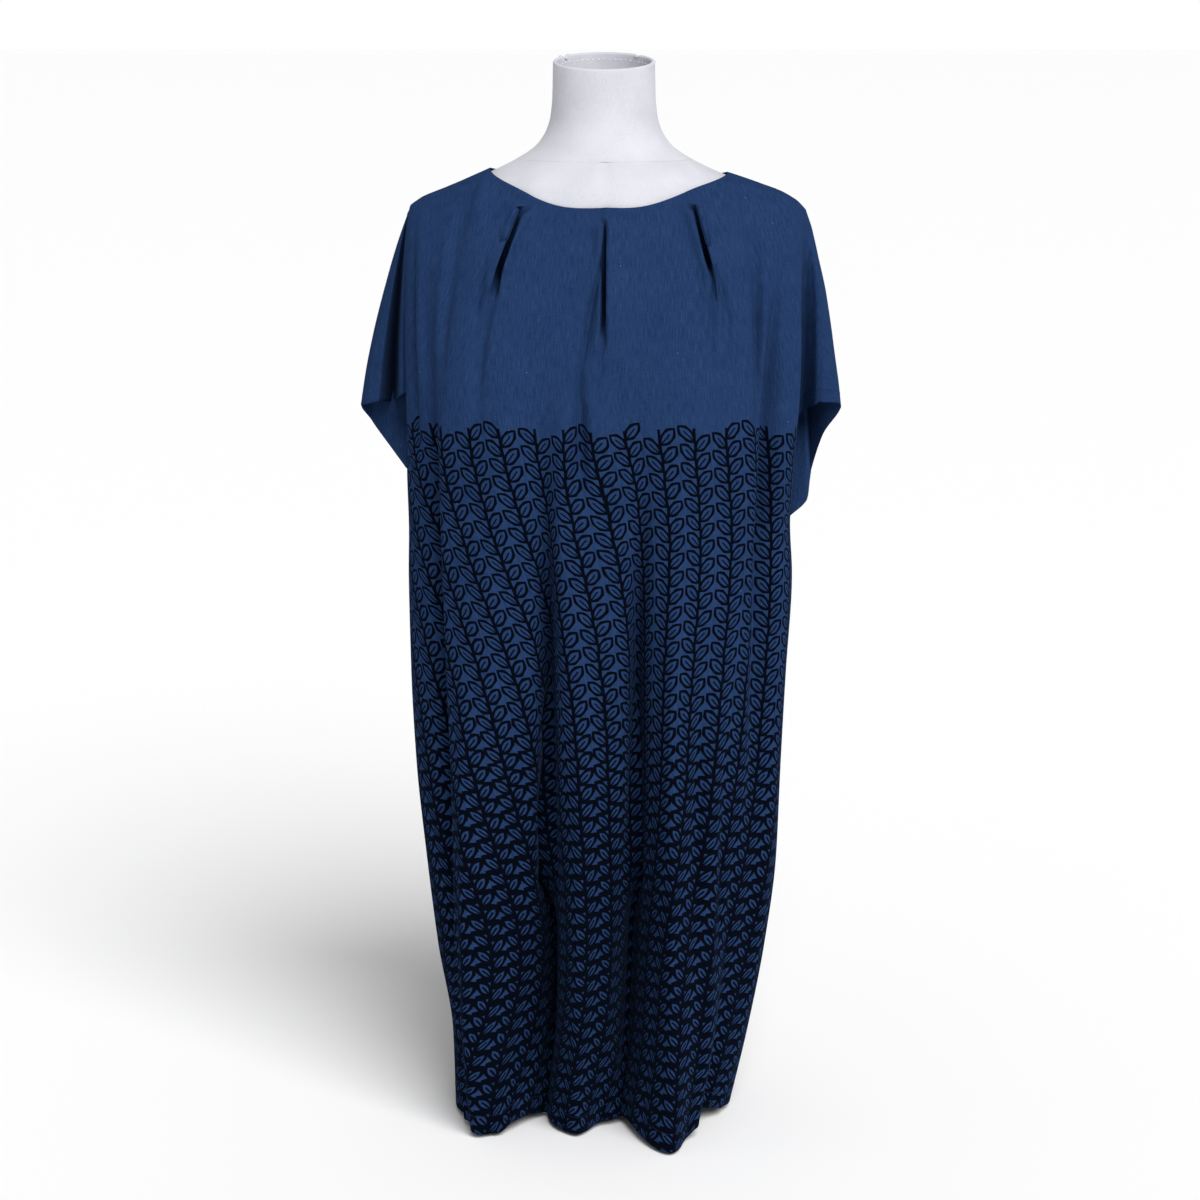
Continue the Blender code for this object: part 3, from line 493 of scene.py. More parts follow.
# %% The side edges, from the armhole down the side seam, and each panel's depth
Edge = namedtuple("Edge", "z x y")
FRONT_EDGES = {
    "left": table(
        Edge, 0,
        (945, -196, -20), (905, -198.5, -32), (865, -199.8, -34), (824, -200.5, -34), (784, -200.5, -32),
        (750, -200.5, -26), (720, -201.5, -13), (700, -203, 0), (640, -202, 0), (590, -203, 0),
        (490, -202, 0), (390, -198, 0), (290, -189, 0), (190, -178, 0), (90, -163, 0), (6, -161, 0),
    ),
    "right": table(
        Edge, 0,
        (945, 199, -24), (905, 197, -36), (865, 196.5, -40), (824, 196.2, -41), (784, 196, -38),
        (750, 195, -34), (715, 194, -28), (680, 193, -14), (650, 192, 0), (590, 195, 0), (490, 190, 0),
        (390, 186, 0), (290, 183, 0), (190, 172, 0), (90, 155, 0), (6, 137, 0),
    ),
}
BACK_ARMHOLE_Y = {"left": 0.030, "right": 0.034}
FRONT_DEPTH = mm((
    (892, 113), (860, 119), (800, 126.5), (735, 130), (680, 129), (600, 127), (500, 124), (400, 119),
    (300, 113), (200, 108), (100, 104), (6, 102),
))
BACK_DEPTH = mm((
    (892, 105), (850, 110), (780, 113), (700, 114), (600, 116), (500, 121), (400, 126), (300, 124),
    (200, 120), (100, 117), (6, 116),
))
FRONT_NECK = {"reach": -0.0889, "left": 2.62, "right": 2.32, "steep": 73}
BACK_NECK = {"reach": 0.0775, "left": 2.2, "right": 2.2, "steep": 64}

# %% The overarm seams and how the sleeves fold at their hems
OVERARM = {
    "left": table(
        Edge, 0,
        (971, -195, 2), (945, -205, 3), (925, -212, 4), (885, -224, 4), (844, -235, 4), (803, -244, 4),
        (767, -250, 4),
    ),
    "right": table(
        Edge, 0,
        (966, 204, 2), (945, 210.5, -10), (925, 213.8, -18), (885, 218.5, -25), (844, 219.5, -27),
        (803, 219.5, -27), (774, 218.5, -26),
    ),
}
OVERARM_ACROSS = {"left": (0.0, 1.0, 0.0), "right": (0.8, 0.6, 0.0)}
Swing = namedtuple("Swing", "share side back up")
FRONT_SLEEVES = {
    "left": table(Swing, 1, (0.1, 0, -6, 0), (0.36, 1, 54, -12), (0.58, 1, -12, 0), (0.8, 2, -12, 0)),
    "right": table(Swing, 1, (0.22, 0, 32, -4), (0.55, 1, 18, 0), (0.8, 1, 4, 0)),
}
BACK_SLEEVES = {
    "left": table(Swing, 1, (0.3, 4, 20, 0), (0.65, 7, 34, 0), (0.88, 5, 18, 0)),
    "right": table(Swing, 1, (0.15, 14, 4, 0), (0.32, 14, 30, 0), (0.6, 18, 18, 12), (0.84, 28, 4, 14)),
}
SWING_GROWTH = {-1: 0.8, 1: 1.15}

# %% The dress form's sections, which carry the neckline
Ring = namedtuple("Ring", "z half_width front back")
TORSO_RINGS = table(
    Ring, 0,
    (330, 130, 70, 80), (334, 144, 79, 90), (346, 152, 83, 95), (380, 157, 85, 98), (430, 156, 85, 98),
    (490, 146, 83, 94), (545, 131, 80, 88), (597, 122, 80, 84), (645, 128, 88, 86), (690, 140, 101, 91),
    (735, 146, 109, 95), (780, 148, 109, 98), (830, 155, 105, 99), (870, 166, 103, 98), (905, 179, 100, 94),
    (930, 188, 98, 89.5), (950, 193, 93.5, 84.5), (966, 189, 89, 79), (975, 180, 86.2, 76),
    (983, 165.5, 84, 73), (991, 148, 81.8, 70.5), (998, 130, 79.5, 68.5), (1004.5, 113.5, 76.2, 67),
    (1010, 101.5, 72.5, 65), (1016.7, 88, 67, 63),
)
CARRYING_RINGS = 10  # the topmost ones, on which the neckline lies
HALVINGS = 30


# %% [markdown]
# ### From tables to points
# Smooth curves through the tables keep a fold soft between its levels and never let it swing past them.

# %% Curves through tables
def smooth(knots, values, at):
    order = np.argsort(knots)
    knots = np.asarray(knots, float)[order]
    values = np.asarray(values, float)[order]
    step = np.diff(knots)
    slope = np.diff(values) / step
    both = slope[1:] * slope[:-1]
    total = np.where(both > 0, slope[1:] + slope[:-1], 1.0)
    inner = np.where(both > 0, 2 * both / total, 0.0)
    tangent = np.concatenate([slope[:1], inner, slope[-1:]])
    at = np.clip(at, knots[0], knots[-1])
    k = np.clip(np.searchsorted(knots, at) - 1, 0, len(step) - 1)
    f = (at - knots[k]) / step[k]
    rise = values[k + 1] - values[k]
    bend = f * (1 - f) * step[k]
    return values[k] + rise * f * f * (3 - 2 * f) + bend * ((1 - f) * tangent[k] - f * tangent[k + 1])


def column_at(rows, name, z):
    """One column of a table at the height z."""
    return smooth([row.z for row in rows], [getattr(row, name) for row in rows], z)


def ease(start, end, at):
    f = np.clip((at - start) / (end - start), 0.0, 1.0)
    return f * f * (3 - 2 * f)


def bell(off, width, power=2):
    return np.exp(-((off / width) ** power))


def unit(vectors):
    return vectors / np.maximum(np.linalg.norm(vectors, axis=-1, keepdims=True), 1e-12)


# %% One level section of the hanging cloth
def edge_at(edges, z):
    return np.array([column_at(edges, "x", z), column_at(edges, "y", z)])


def around(turn, x_edge, y_edge, depth):
    angle = abs(turn) * math.pi / 2
    x = abs(x_edge) * math.copysign(math.sin(angle) ** (2 / SQUARENESS), turn)
    y = y_edge + (depth - y_edge) * max(math.cos(angle), 0.0) ** (2 / SQUARENESS)
    return x, y


def turn_of(x, x_edge):
    share = min(abs(x / x_edge), 1.0) ** (SQUARENESS / 2)
    return math.copysign(math.asin(share) * 2 / math.pi, x)


# %% The neckline, laid on the form's shoulders
def form_height(x, y, grown):
    """How high the form is above x, y, found by halving, when it is grown a little all round."""
    low, high = TORSO_RINGS[-CARRYING_RINGS].z, TORSO_RINGS[-1].z
    for _ in range(HALVINGS):
        middle = (low + high) / 2
        half_width = column_at(TORSO_RINGS, "half_width", middle) + grown
        reach = column_at(TORSO_RINGS, "front" if y < 0 else "back", middle) + grown
        low, high = (middle, high) if math.hypot(x / half_width, y / reach) < 1 else (low, middle)
    return low


def neckline(turn, neck):
    angle = turn * math.pi / 2
    side = side_of(turn)
    aside = math.copysign(abs(math.sin(angle)) ** (2 / neck[side]), turn)
    forward = max(math.cos(angle), 0.0) ** (2 / neck[side])
    x = NECK_X + NECK_HALF_WIDTH[side] * aside
    y = SHOULDER_Y + (neck["reach"] - SHOULDER_Y) * forward
    return np.array([x, y, form_height(x, y, NECK_CLEARANCE) + NECK_CLEARANCE * (1 - forward)])


def top_edge(place, neck):
    if abs(place) <= 1:
        return neckline(place, neck)
    share = abs(place) - 1
    side = side_of(place)
    tip_x, tip_z = SHOULDER_TIP[side]
    start = neckline(math.copysign(1, place), neck)
    z = start[2] + (tip_z - start[2]) * share + smooth(*zip(*SHOULDER_RISE[side]), share)
    return np.array([start[0] + (tip_x - start[0]) * share, SHOULDER_Y, z])


def place_of(x, neck):
    side = side_of(x - NECK_X)
    half_width = NECK_HALF_WIDTH[side]
    off = (x - NECK_X) / half_width
    if abs(off) <= 1:
        return math.copysign(math.asin(abs(off) ** (neck[side] / 2)) * 2 / math.pi, off)
    start_x = NECK_X + math.copysign(half_width, off)
    return math.copysign(1 + (x - start_x) / (SHOULDER_TIP[side][0] - start_x), off)


# %% [markdown]
# ### The grid of one panel
# The columns follow the fold lines, several cells to a fold, and a pleat brings three columns of its own:
# the crisp outer edge, the turn behind it, and the cloth that comes out from under it.

# %% Columns and rows
Panel = namedtuple("Panel", "facing folds edges depth neck pleats")
FINENESS = {-1: 6, 1: 5}  # how finely the front's and the back's cells are split
STEEP_UNTIL = 0.35
TOP_SWELL = 1.35  # how far the cloth keeps its first slope below the top edge
SLOPE_STEP = 0.01


def pleat_of(panel, fold):
    return next((p for p in panel.pleats if p.fold == fold.name), None)


def columns_of(panel):
    columns = []
    for i, fold in enumerate(panel.folds):
        pleat = pleat_of(panel, fold)
        if pleat:
            layers = (0, 1, 2) if pleat.lap == "left" else (2, 1, 0)
            columns += [(i, 0.0, pleat, layer) for layer in layers]
        else:
            columns.append((i, 0.0, None, 0))
        cells = fold.cells * FINENESS[panel.facing]
        shares = np.arange(1, cells) / max(cells, 1)
        after = pleat_of(panel, panel.folds[i + 1]) if i + 1 < len(panel.folds) else None
        if pleat and pleat.lap == "left":
            shares = shares**GAP_CROWDING
        elif after and after.lap == "right":
            shares = 1 - (1 - shares) ** GAP_CROWDING
        columns += [(i, share, None, 0) for share in shares]
    return columns


def span_of(panel, fold, x):
    """Where the columns from the left reach a fold line, and where those to its right start."""
    pleat = pleat_of(panel, fold)
    if pleat is None:
        return x, x
    return (x, x + 2 * PLEAT_PITCH) if pleat.lap == "left" else (x - 2 * PLEAT_PITCH, x)


def spans_of(panel, place, find, side_edge):
    """The span of every fold line along a row, from its place in x."""
    inner = [[find(x) for x in span_of(panel, fold, place(fold))] for fold in panel.folds[1:-1]]
    return [(-side_edge, -side_edge), *inner, (side_edge, side_edge)]


def between(spans, column):
    i, share, pleat, layer = column
    if pleat:
        start, end = spans[i]
        return start + (end - start) * (layer if pleat.lap == "left" else 2 - layer) / 2
    if share == 0:
        return spans[i][0]
    return spans[i][1] + (spans[i + 1][0] - spans[i][1]) * share


def hanging_row(panel, columns, z):
    sides = {side: edge_at(panel.edges[side], z) for side in SIDES}
    depth = panel.facing * smooth(*zip(*panel.depth), z)

    def place(fold):
        return smooth(LEVELS, fold.x, z)

    def turn_at(x):
        return turn_of(x, sides[side_of(x)][0])

    spans = spans_of(panel, place, turn_at, 1.0)
    points = []
    for column in columns:
        turn = between(spans, column)
        x_edge, y_edge = sides[side_of(turn)]
        x, y = around(turn, x_edge, y_edge + panel.facing * SEAM_HALF_GAP, depth)
        points.append((x, y, z))
    return np.array(points)


def top_row(panel, columns):
    spans = spans_of(panel, lambda fold: fold.x[0], lambda x: place_of(x, panel.neck), 2.0)
    points, leaving = [], []
    for column in columns:
        place = between(spans, column)
        point = top_edge(place, panel.neck)
        point[1] += panel.facing * SEAM_HALF_GAP
        steep = math.radians(panel.neck["steep"]) * (1 - ease(STEEP_UNTIL, 1.0, abs(place)))
        points.append(point)
        leaving.append((0.0, panel.facing * math.cos(steep), -math.sin(steep)))
    return np.array(points), np.array(leaving)


def plain_grid(panel, columns, top_shares, heights):
    """The unfolded panel: its top curves from the top row into the first hanging row."""
    top, leaving = top_row(panel, columns)
    join = hanging_row(panel, columns, heights[0])
    below = hanging_row(panel, columns, heights[0] - SLOPE_STEP)
    arriving = unit(below - join)
    length = np.linalg.norm(join - top, axis=1, keepdims=True)
    leaving[:, 0] = (join - top)[:, 0] / length[:, 0]
    leaving = TOP_SWELL * unit(leaving)
    rows, levels = [], []
    for t in top_shares:
        start = 2 * t**3 - 3 * t**2 + 1
        leave = t**3 - 2 * t**2 + t
        arrive = t**3 - t**2
        rows.append(start * top + (1 - start) * join + (leave * leaving + arrive * arriving) * length)
        levels.append(TOP_LEVEL + (heights[0] - TOP_LEVEL) * t)
    rows += [hanging_row(panel, columns, z) for z in heights]
    return np.array(rows), np.array(levels + list(heights))


# %% [markdown]
# ### Creases
# Between the big folds the cloth has softer ones: the drag lines that fan out under each pleat, the slack
# near the armholes and shallow ripples down the skirt. Each is a trough or a ridge along a path of
# (height, x), with the place where it is strongest, a width and a depth, all uneven on purpose.

# %% Soft troughs and ridges
# painted shade in deep troughs: the depth where it starts, and how fast it grows with depth
SHADE_FROM = 0.006
SHADE_GROWS = 14.0
SOFT, CRISP = 2.0, 1.1
Crease = namedtuple("Crease", "path peak width out power", defaults=(SOFT,))


def creases_of(*rows):
    return [Crease(mm(path), peak, mm(width), mm(out), *power) for path, peak, width, out, *power in rows]


FRONT_CREASES = creases_of(
    # the crisp line that runs down and left from the middle pleat, and the hollow where it ends
    (((966, -1), (914, -10), (877, -17), (836, -21.5), (809, -25), (788, -23.5), (730, -22)), 0.4, 3, -7.8,
     CRISP),
    (((970, 0), (935, -5.5), (905, -11.5), (870, -18)), 0.45, 2.4, -5, CRISP),
    (((960, -8), (914, -17), (877, -24), (836, -29), (790, -32)), 0.4, 4, 1.6),
    (((832, -25), (752, -23.5), (660, -26)), 0.5, 6.5, -11),
    (((830, -40), (752, -40), (660, -42)), 0.5, 8, 3.6),
    (((830, -8), (752, -6), (660, -8)), 0.5, 8, 3),
    (((860, -36), (800, -30), (740, -34)), 0.5, 5, 1.4),
    (((850, 8), (800, 13.7), (740, 16)), 0.4, 3.5, -2, CRISP),
    (((860, -4), (810, -6), (740, -9)), 0.4, 4.5, -2),
    (((830, 32), (760, 34), (640, 30)), 0.45, 6, -1.8),
    # the left pleat's drag lines
    (((912, -104), (843, -119), (789, -123.5), (720, -122)), 0.25, 5.5, -6),
    (((940, -108), (899, -119.5), (864, -125), (790, -127.5)), 0.4, 4.5, -4.6),
    (((935, -88), (870, -103), (800, -108)), 0.35, 6, -1.6),
    (((975, -126), (920, -146), (830, -160), (740, -164)), 0.5, 6, -4.8),
    (((960, -140), (900, -160), (800, -170)), 0.5, 5, 2),
    # the right pleat's
    (((972, 88), (935, 95), (870, 102)), 0.4, 3.5, 2.2),
    (((915, 108), (899, 112.5), (864, 121), (790, 124)), 0.25, 5, -5.4),
    (((920, 95), (866, 104.5), (780, 105)), 0.4, 4, -3.4),
    (((970, 126), (900, 150), (800, 156), (700, 158)), 0.45, 6, -4.8),
    (((930, 170), (840, 172), (740, 171)), 0.5, 4, -4),
    # the narrow valley inside each armhole, and the crest beside it
    (((960, -188), (905, -192), (865, -193.5), (800, -195), (700, -195)), 0.5, 2.6, -10),
    (((960, -180), (905, -184), (865, -186), (800, -186.5), (700, -186)), 0.5, 4, 3.6),
    (((962, 178), (905, 180), (865, 181), (824, 181), (784, 180), (700, 178)), 0.5, 5, -4),
    (((960, 188), (905, 190), (865, 190), (784, 190), (700, 188)), 0.5, 4, 3),
    # the side valleys
    (((930, -170), (800, -176), (680, -177), (550, -173), (400, -166), (250, -160), (120, -154)), 0.45, 8.5,
     -19),
    (((950, 166), (800, 170), (700, 166), (550, 160), (400, 156), (250, 146)), 0.25, 7.5, -16),
    (((965, 138), (900, 152), (800, 155), (700, 154)), 0.45, 5, -7.5),
    # the two flutes that rise from the hem, and the crests beside them
    (((790, -60), (700, -58.5), (550, -58.5), (400, -60), (250, -62), (120, -66), (6, -76), (-200, -76)),
     0.42, 8.5, -44),
    (((780, 44), (700, 40), (550, 36), (400, 35), (250, 34), (120, 30), (6, 24), (-200, 24)), 0.44, 8, -40),
    (((240, -82), (120, -92), (6, -110), (-300, -110)), 0.5, 12, -20),
    (((600, -24), (300, -22), (6, -28), (-60, -28)), 0.5, 15, 7),
    (((740, 70), (400, 67), (6, 60), (-60, 60)), 0.5, 10, 8),
    (((640, -142), (400, -139), (200, -135), (6, -128), (-200, -128)), 0.5, 9, 10),
    (((420, -60), (250, -60), (6, -73), (-30, -73)), 0.6, 15, -20),
    (((420, 26), (250, 24), (6, 20), (-30, 20)), 0.6, 13, -18),
    (((420, -29), (200, -28), (6, -31), (-60, -31)), 0.6, 8, 8),
    (((880, -98), (760, -100), (560, -102)), 0.45, 12, 3.6),
    (((700, -128), (400, -132), (100, -124), (-100, -124)), 0.55, 14, 5),
    (((640, 2), (420, 4), (200, 0)), 0.5, 7, -3.6),
    (((600, 98), (380, 94), (120, 86)), 0.55, 7, -7),
    (((520, 126), (300, 120), (90, 108)), 0.55, 6.5, -6),
    (((560, -98), (380, -96), (160, -98)), 0.5, 6, -4),
    (((300, -150), (160, -142), (6, -134), (-100, -134)), 0.7, 8, -5),
)
BACK_CREASES = creases_of(
    (((940, -150), (850, -158), (740, -162)), 0.5, 7, -3.4),
    (((900, -108), (740, -112), (560, -110)), 0.5, 10, 3.4),
    (((840, -44), (600, -48), (360, -46)), 0.5, 10, -4),
    (((860, 20), (640, 26), (400, 24)), 0.5, 11, 3.6),
    (((880, 100), (700, 104), (500, 100)), 0.5, 10, -4),
    (((930, 156), (820, 162), (700, 160)), 0.5, 6.5, -3.6),
    (((460, 28), (240, 22), (40, 18)), 0.55, 10, -4),
    (((440, -118), (240, -112), (60, -104)), 0.55, 10, 3.6),
    (((500, 140), (280, 130), (80, 116)), 0.5, 8.5, 3.2),
)


def creased(points, levels, creases):
    """How far the creases push each point out, and how much painted shade deep troughs lay on it, from 0 to
    1.
    """
    out = np.zeros(points.shape[:2])
    shade = np.zeros(points.shape[:2])
    for crease in creases:
        knots, places = zip(*crease.path)
        share = (knots[0] - levels) / (knots[0] - knots[-1])
        strength = ease(0.0, crease.peak, share) * (1 - ease(crease.peak, 1.0, share))
        off = abs(points[..., 0] - smooth(knots, places, levels)[:, None])
        depth = strength[:, None] * bell(off, crease.width, crease.power)
        out += crease.out * depth
        # painted shade, stronger the deeper the trough
        shade += max(-crease.out - SHADE_FROM, 0.0) * SHADE_GROWS * depth
    return out, shade


# %% [markdown]
# ### Folding the grid
# Last, each point moves out along the plain cloth's normal by its fold, its pleat and its creases. At a
# pleat the lapped side also slides over the other, and the cloth under it dips in, which gives a crisp
# edge with a gap beside it. The gap is dark partly from its depth and partly from painted shade.

# %% Where the cloth would sink into the form, it rests on it
REST_CLEARANCE = 0.0012
REST_ABOVE = (0.220, 0.346)
NEAR_AXIS = 0.2


def rest_on_form(points):
    x, y, z = points[..., 0], points[..., 1], points[..., 2]
    on_form = np.clip(z, REST_ABOVE[1], TORSO_RINGS[-1].z)
    half_width, front, back = [column_at(TORSO_RINGS, name, on_form) for name in Ring._fields[1:]]
    reach = np.where(y < 0, front, back)
    off = np.hypot(x / half_width, y / reach)
    least = 1 + (REST_CLEARANCE + CLOTH_THICKNESS) / reach
    push = np.where(off < least, least / np.maximum(off, NEAR_AXIS) - 1, 0.0)
    push *= ease(*REST_ABOVE, z)
    print("rests on the form at", int((push > 0).sum()), "points")
    return points + np.stack([x * push, y * push, 0 * push], axis=-1)


# %% One panel's grid
SHADE_MOST = 0.9
HEM_LIFT = {
    -1: mm((
        (-160, 0), (-146, 3), (-131, -1), (-111, -1), (-96, 6), (-84, 6), (-66, -1), (-40, -2), (-17, -2),
        (-6, 0), (15, 2), (28, 4), (41, 1), (55, -1), (86, 0), (98, 8), (108, 9), (124, 4), (134, 0),
    )),
    1: mm(((-200, 0), (200, 0))),
}
HEM_LIFT_FADES = 0.100


def grid_normals(points, facing):
    along = np.gradient(points, axis=1)
    down = np.gradient(points, axis=0)
    return unit(np.cross(along, down)) * facing


def fold_pleat(pleat, columns, plain, levels, out, shade, shift):
    """Lifts one pleat's lap, slides it sideways, sinks the gap beside it and paints shade into the gap."""
    way = 1 if pleat.lap == "left" else -1
    edge = next(j for j, column in enumerate(columns) if column[2] is pleat and column[3] == 0)
    folded = ease(pleat.open_, pleat.closed, levels)
    below_neckline = ease(TOP_LEVEL - PLEAT_STITCHING / 2, TOP_LEVEL - PLEAT_STITCHING, levels)
    high = pleat.high * folded * (PLEAT_STITCHED + (1 - PLEAT_STITCHED) * below_neckline)
    slid = way * folded * below_neckline
    starts = ease(pleat.top, pleat.top - GAP_STARTS, levels)
    gap = ease(pleat.fades, pleat.dark, levels) * starts
    widens = ease(pleat.top, pleat.top - GAP_GROWS, levels)
    width = GAP_WIDTH[0] + (GAP_WIDTH[1] - GAP_WIDTH[0]) * widens
    for j, (_, _, of_pleat, layer) in enumerate(columns):
        if of_pleat is pleat:
            out[:, j] += high * (1 - layer / 2)
            shift[:, j] -= slid * (0.0, pleat.over + PLEAT_PITCH, PLEAT_TUCKED)[layer]
        elif (j - edge) * way < 0:
            apart = np.linalg.norm(plain[:, j] - plain[:, edge], axis=1)
            out[:, j] += high * bell(apart, LAP_RISE)
        if (j - edge) * way > 0:
            turned = TURN_DEPTH if layer == 1 and of_pleat is pleat else 1.0
            apart = np.linalg.norm(plain[:, j] - plain[:, edge + 2 * way], axis=1)
            out[:, j] -= pleat.gap * gap * turned * bell(apart, width, GAP_POWER)
            out[:, j] += pleat.lip * folded * starts * bell(apart - LIP_AWAY, LIP_WIDTH)
            # painted shade in the gap beside the lap
            shade[:, j] += PLEAT_SHADE * gap * bell(apart, width + SHADE_WIDER, GAP_POWER)
            if of_pleat is not pleat:
                shift[:, j] -= slid * PLEAT_TUCKED * bell(apart, PLEAT_SLIDES)


def panel_grid(panel, creases, top_shares, heights):
    columns = columns_of(panel)
    plain, levels = plain_grid(panel, columns, top_shares, heights)
    still = np.zeros(len(levels))
    stands = [still, *[smooth(LEVELS, fold.out, levels) for fold in panel.folds[1:-1]], still]
    out, shade = creased(plain, levels, creases)
    shift = np.zeros(plain.shape[:2])
    for j, (i, share, _, _) in enumerate(columns):
        out[:, j] += stands[i] if share == 0 else stands[i] + (stands[i + 1] - stands[i]) * ease(0, 1, share)
    for pleat in panel.pleats:
        fold_pleat(pleat, columns, plain, levels, out, shade, shift)
    points = plain + grid_normals(plain, panel.facing) * out[..., None]
    points += unit(np.gradient(plain, axis=1)) * shift[..., None]
    lift = smooth(*zip(*HEM_LIFT[panel.facing]), points[..., 0])
    points[..., 2] += lift * (1 - ease(HEM_Z, HEM_LIFT_FADES, levels))[:, None]
    return rest_on_form(points), plain, levels, np.clip(shade, 0.0, SHADE_MOST)


# %% The sleeves' rows
SLEEVE_CELLS = 30
SLEEVE_CELL = 0.0013
# painted shade in a sleeve's trough: per metre of swing back, its most, and how far down it grows to full
SLEEVE_SHADE = 14.0
SLEEVE_SHADE_MOST = 0.8
SLEEVE_SHADE_GROWS = 0.6


def swung(swings, name, shares):
    inner = [getattr(swing, name) for swing in swings]
    return smooth([0.0, *[swing.share for swing in swings], 1.0], [0.0, *inner, 0.0], shares)


def sleeve_rows(body, levels, side, panel, swings, hem_level):
    """For each row from the shoulder to the sleeve's hem: shares across, points and their shade."""
    last = int(np.argmin(abs(levels - hem_level)))
    inner = body[: last + 1, SIDES[side]]
    overarm = OVERARM[side]
    tip_z, hem_z = overarm[0].z, overarm[-1].z
    outward = -1 if side == "left" else 1
    rows = [[(0.0, inner[0], 0.0)]]
    for point in inner[1:]:
        drop = (inner[0][2] - point[2]) / (inner[0][2] - inner[-1][2])
        z = tip_z + (hem_z - tip_z) * drop
        seam = np.array([*edge_at(overarm, z), z])
        seam += np.array(OVERARM_ACROSS[side]) * panel.facing * SEAM_HALF_GAP
        cells = int(np.clip(np.linalg.norm(seam - point) / SLEEVE_CELL, 1, SLEEVE_CELLS))
        shares = np.linspace(0.0, 1.0, cells + 1)
        aside, back, up = [swung(swings, name, shares) for name in ("side", "back", "up")]
        moved = np.stack([aside * outward, back, up * drop], axis=1)
        row = point + (seam - point) * shares[:, None] + moved * drop ** SWING_GROWTH[panel.facing]
        # painted shade in the sleeve's trough, stronger where the cloth swings back
        painted_shade = np.clip(-panel.facing * back * SLEEVE_SHADE, 0.0, SLEEVE_SHADE_MOST)
        rows.append(list(zip(shares, row, painted_shade * ease(0.0, SLEEVE_SHADE_GROWS, drop))))
    return rows


# %% [markdown]
# ### From grids to cloth
# The grid is the cloth's outer face. The UV map holds the flat cut: how far a point lies from the panel's
# middle along its row, and from the hem along its column. A live Solidify gives the cloth its thickness,
# and the inside shows the print only faintly, as the wrong side of printed cloth does.

# %% Sizes of the mesh
CHEST_ROWS = 42
SKIRT_ROWS = 108
SKIRT_TOP = 0.740
SLEEVE_HEM_RIGHT_Z = 0.758
LEAST_ROW = 0.0012
TOP_ROWS = 26
TOP_CROWDING = 1.12
GRAIN_EVENNESS = 0.10
SEAM_ROLL = 0.0007
ROUNDING = 1e-6


def cloth_heights():
    heights = {SLEEVE_HEM_Z, SLEEVE_HEM_RIGHT_Z, *UNDERARM_Z.values()}
    for top, bottom, rows in ((JOIN_Z, SKIRT_TOP, CHEST_ROWS), (SKIRT_TOP, HEM_Z, SKIRT_ROWS)):
        heights |= set(np.round(np.linspace(top, bottom, rows + 1), 5))
    ordered = sorted(heights, reverse=True)
    return [z for i, z in enumerate(ordered) if i == 0 or ordered[i - 1] - z > LEAST_ROW]


# %% Faces between rows of points
def add_grid(mesh, points, facing):
    verts = [[mesh.verts.new(point) for point in row] for row in points]
    for upper, lower in zip(verts, verts[1:]):
        for j in range(len(upper) - 1):
            corners = [upper[j], lower[j], lower[j + 1], upper[j + 1]]
            mesh.faces.new(corners if facing < 0 else corners[::-1])
    return verts


def bridge(mesh, upper, lower, flip):
    """Triangles between two rows with different numbers of points."""
    i = j = 0
    while i < len(upper) - 1 or j < len(lower) - 1:
        corners = [upper[i][1], lower[j][1]]
        if i == len(upper) - 1 or (j < len(lower) - 1 and lower[j + 1][0] <= upper[i + 1][0]):
            j += 1
            corners.append(lower[j][1])
        else:
            i += 1
            corners.append(upper[i][1])
        mesh.faces.new(corners[::-1] if flip else corners)


def add_sleeve(mesh, body, rows, cut, painted_shade, outward):
    """Joins a sleeve's rows to the panel's edge and lays them on the flat cut."""
    line = []
    seam_up = cut[body[0]][1]
    corner = body[0].co
    for row, start in zip(rows, body):
        made = [(0.0, start)]
        for share, point, dark in row[1:]:
            vert = mesh.verts.new(point)
            # the painted shade of the sleeve's trough goes into the attribute
            vert[painted_shade] = dark
            made.append((share, vert))
        start_across, start_up = cut[start]
        seam_up -= (made[-1][1].co - corner).length
        corner = made[-1][1].co
        reach = 0.0
        for (_, before), (share, vert) in zip(made, made[1:]):
            reach += (vert.co - before.co).length
            cut[vert] = (start_across + outward * reach, start_up + (seam_up - start_up) * share)
        line.append(made)
    return line


# %% The side seams and the flat cut
def roll_seams(points, levels):
    """Turns the cloth's edge in a little at the side seams, as a pressed seam does."""
    middle = points[:, points.shape[1] // 2]
    for side, column in SIDES.items():
        below = levels <= UNDERARM_Z[side] + ROUNDING
        inward = unit((middle - points[:, column]) * np.array([1.0, 0.0, 0.0]))
        points[below, column] += inward[below] * SEAM_ROLL
    return points


def lengths_along(points, axis):
    gaps = np.linalg.norm(np.diff(points, axis=axis), axis=-1)
    start = np.zeros_like(np.take(gaps, [0], axis=axis))
    return np.concatenate([start, np.cumsum(gaps, axis=axis)], axis=axis)


def flat_places(points, plain, levels):
    """Each grid point's place on the flat cut, evened out over neighbouring rows."""
    across = lengths_along(points, 1)
    across -= across[:, [points.shape[1] // 2]]
    near = bell(levels[:, None] - levels[None, :], GRAIN_EVENNESS)
    across = near @ across / near.sum(axis=1, keepdims=True)
    down = lengths_along(plain, 0)
    return across, down[-1:] - down


# %% Build a panel
Cloth = namedtuple("Cloth", "obj points levels sleeves size facing")


